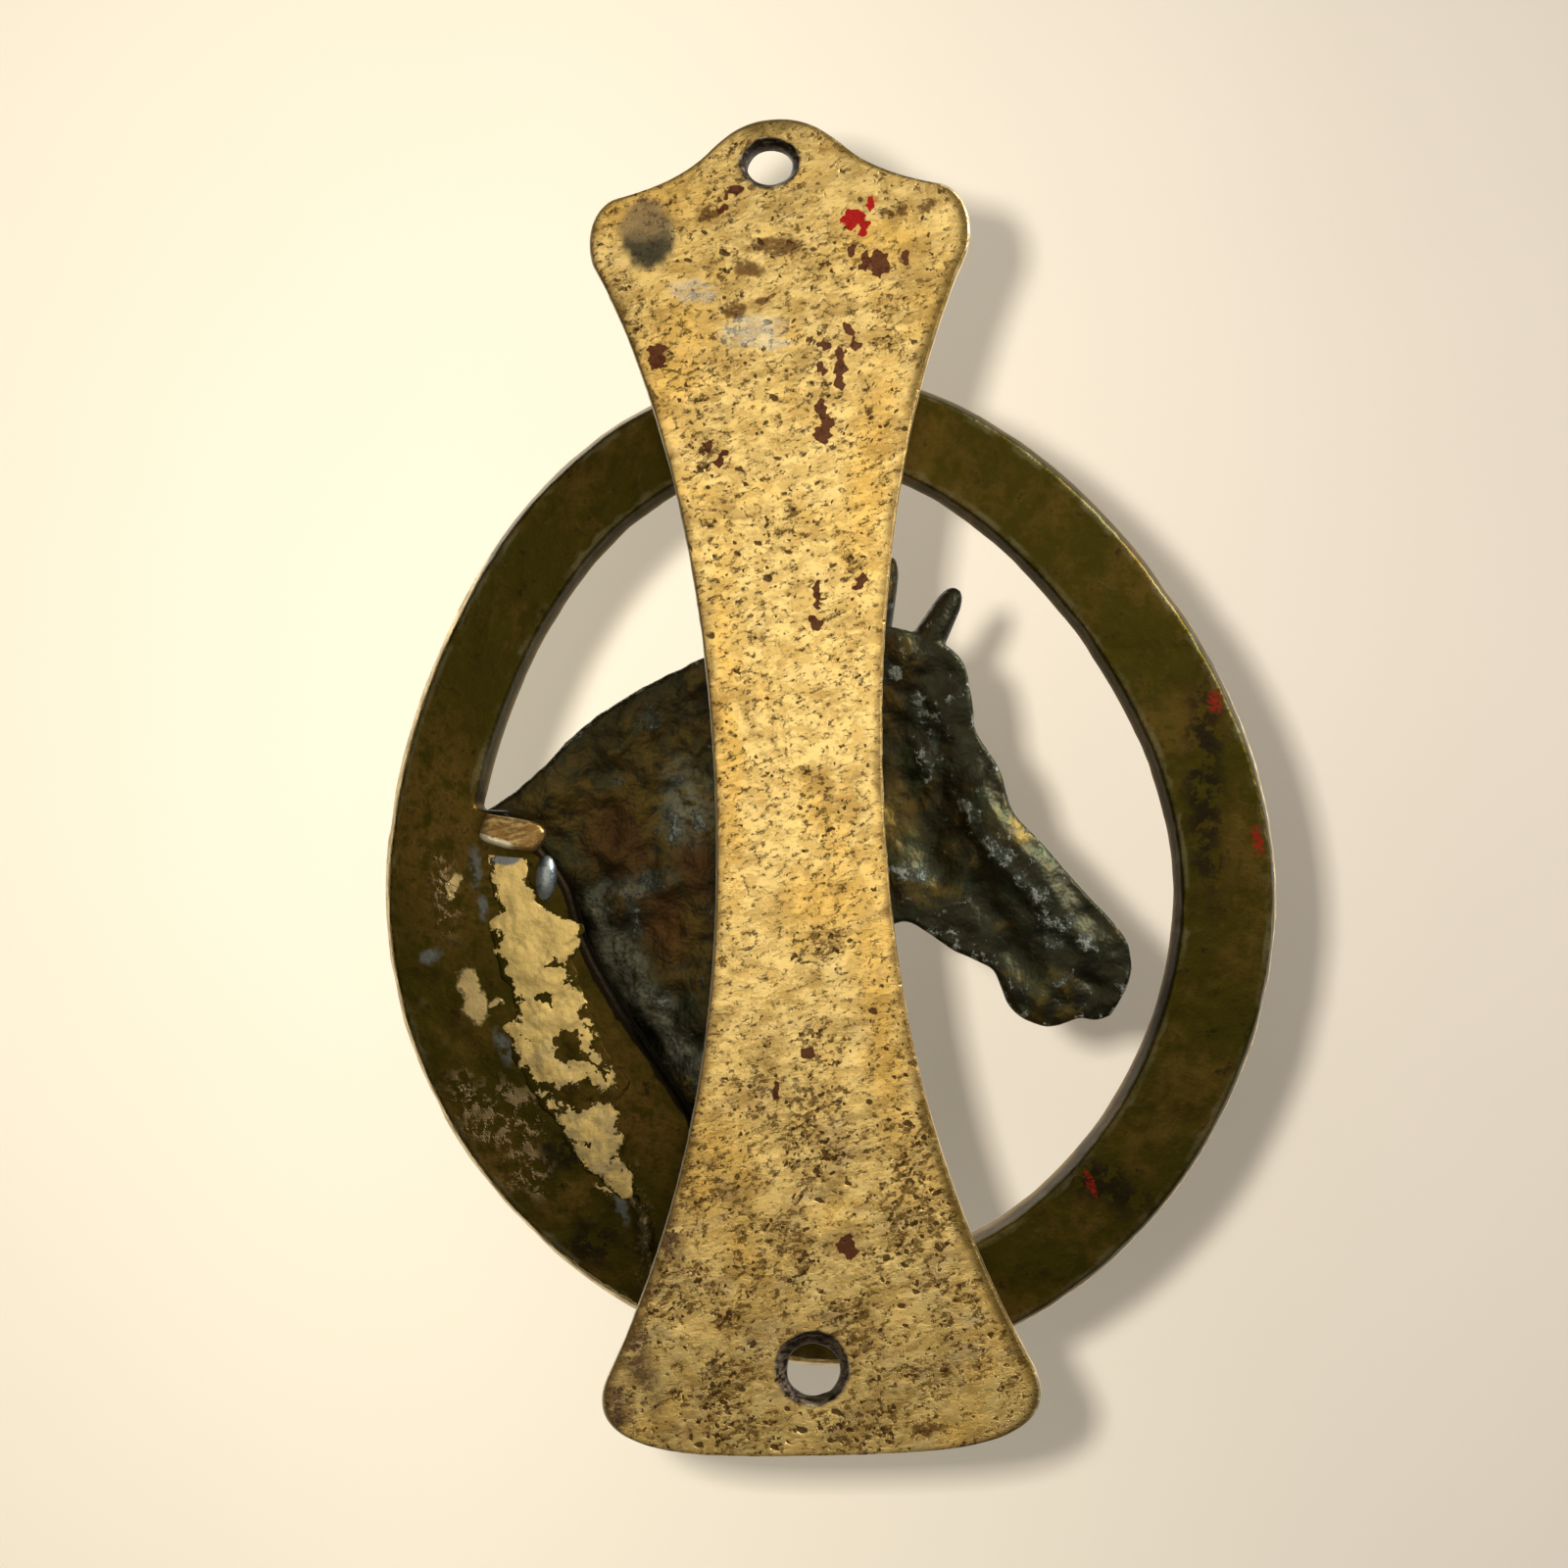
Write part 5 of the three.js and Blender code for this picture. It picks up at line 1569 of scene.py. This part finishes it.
class KNOCKER_OT_back_plate(Maker, bpy.types.Operator):
    """Add the worn back plate with its hinge lugs"""

    bl_idname = "knocker.back_plate"
    bl_label = "Back plate"

    def make(self, scene):
        settings = scene.knocker_plate
        dressed(back_plate(settings), "back_plate", "plate", plate_brass(settings))


class KNOCKER_OT_pin_and_stud(Maker, bpy.types.Operator):
    """Add the hinge pin and the strike stud"""

    bl_idname = "knocker.pin_and_stud"
    bl_label = "Pin and stud"

    def make(self, scene):
        finish = pin_brass(scene.knocker_plate)
        dressed(hinge_pin(), "hinge_pin", "plate", finish)
        dressed(strike_stud(), "strike_stud", "plate", finish)


class KNOCKER_OT_ring(Maker, bpy.types.Operator):
    """Add the ring with its knuckle and web"""

    bl_idname = "knocker.ring"
    bl_label = "Ring"

    def make(self, scene):
        settings = scene.knocker_ring
        finish = ring_patina(settings)
        dressed(knocker_ring(settings), "knocker_ring", "knocker", finish)


class KNOCKER_OT_head(Maker, bpy.types.Operator):
    """Add the horse's head"""

    bl_idname = "knocker.head"
    bl_label = "Horse's head"

    def make(self, scene):
        settings = scene.knocker_head
        finish = head_patina(settings)
        dressed(horse_head(settings), "horse_head", "knocker", finish)


class KNOCKER_OT_braze(Maker, bpy.types.Operator):
    """Add the brazing run, its tab and the solder bead"""

    bl_idname = "knocker.braze"
    bl_label = "Braze and solder"

    def make(self, scene):
        settings = scene.knocker_braze
        filler = filler_brass(settings, scene.knocker_ring)
        dressed(braze_run(settings), "braze_run", "knocker", filler)
        dressed(braze_tab(), "braze_tab", "knocker", tab_brass())
        dressed(solder_bead(), "solder_bead", "knocker", solder_grey(settings))


OPERATORS = (KNOCKER_OT_stage, KNOCKER_OT_back_plate, KNOCKER_OT_pin_and_stud, KNOCKER_OT_ring,
             KNOCKER_OT_head, KNOCKER_OT_braze)
SETTINGS = {"knocker_stage": StageSettings, "knocker_plate": PlateSettings,
            "knocker_ring": RingSettings, "knocker_head": HeadSettings,
            "knocker_braze": BrazeSettings}


class KNOCKER_PT_sidebar(bpy.types.Panel):
    """The knocker's operators and settings in the sidebar"""

    bl_idname = "KNOCKER_PT_sidebar"
    bl_label = "Door knocker"
    bl_space_type = "VIEW_3D"
    bl_region_type = "UI"
    bl_category = "Knocker"

    def draw(self, context):
        """Lists each operator, then the settings."""
        for operator in OPERATORS:
            self.layout.operator(operator.bl_idname)
        for name in SETTINGS:
            group = getattr(context.scene, name)
            box = self.layout.box()
            for key in group.bl_rna.properties.keys():
                if key not in {"rna_type", "name"}:
                    box.prop(group, key)


def register():
    """Registers the settings, the operators and the panel."""
    for name, group in SETTINGS.items():
        bpy.utils.register_class(group)
        setattr(bpy.types.Scene, name, bpy.props.PointerProperty(type=group))
    for operator in OPERATORS:
        bpy.utils.register_class(operator)
    bpy.utils.register_class(KNOCKER_PT_sidebar)


def unregister():
    """Takes everything out again."""
    bpy.utils.unregister_class(KNOCKER_PT_sidebar)
    for operator in reversed(OPERATORS):
        bpy.utils.unregister_class(operator)
    for name, group in SETTINGS.items():
        delattr(bpy.types.Scene, name)
        bpy.utils.unregister_class(group)


def main():
    """Builds the stage and every piece."""
    register()
    bpy.ops.knocker.stage()
    bpy.ops.knocker.back_plate()
    bpy.ops.knocker.pin_and_stud()
    bpy.ops.knocker.ring()
    bpy.ops.knocker.head()
    bpy.ops.knocker.braze()


if __name__ == "__main__":
    main()
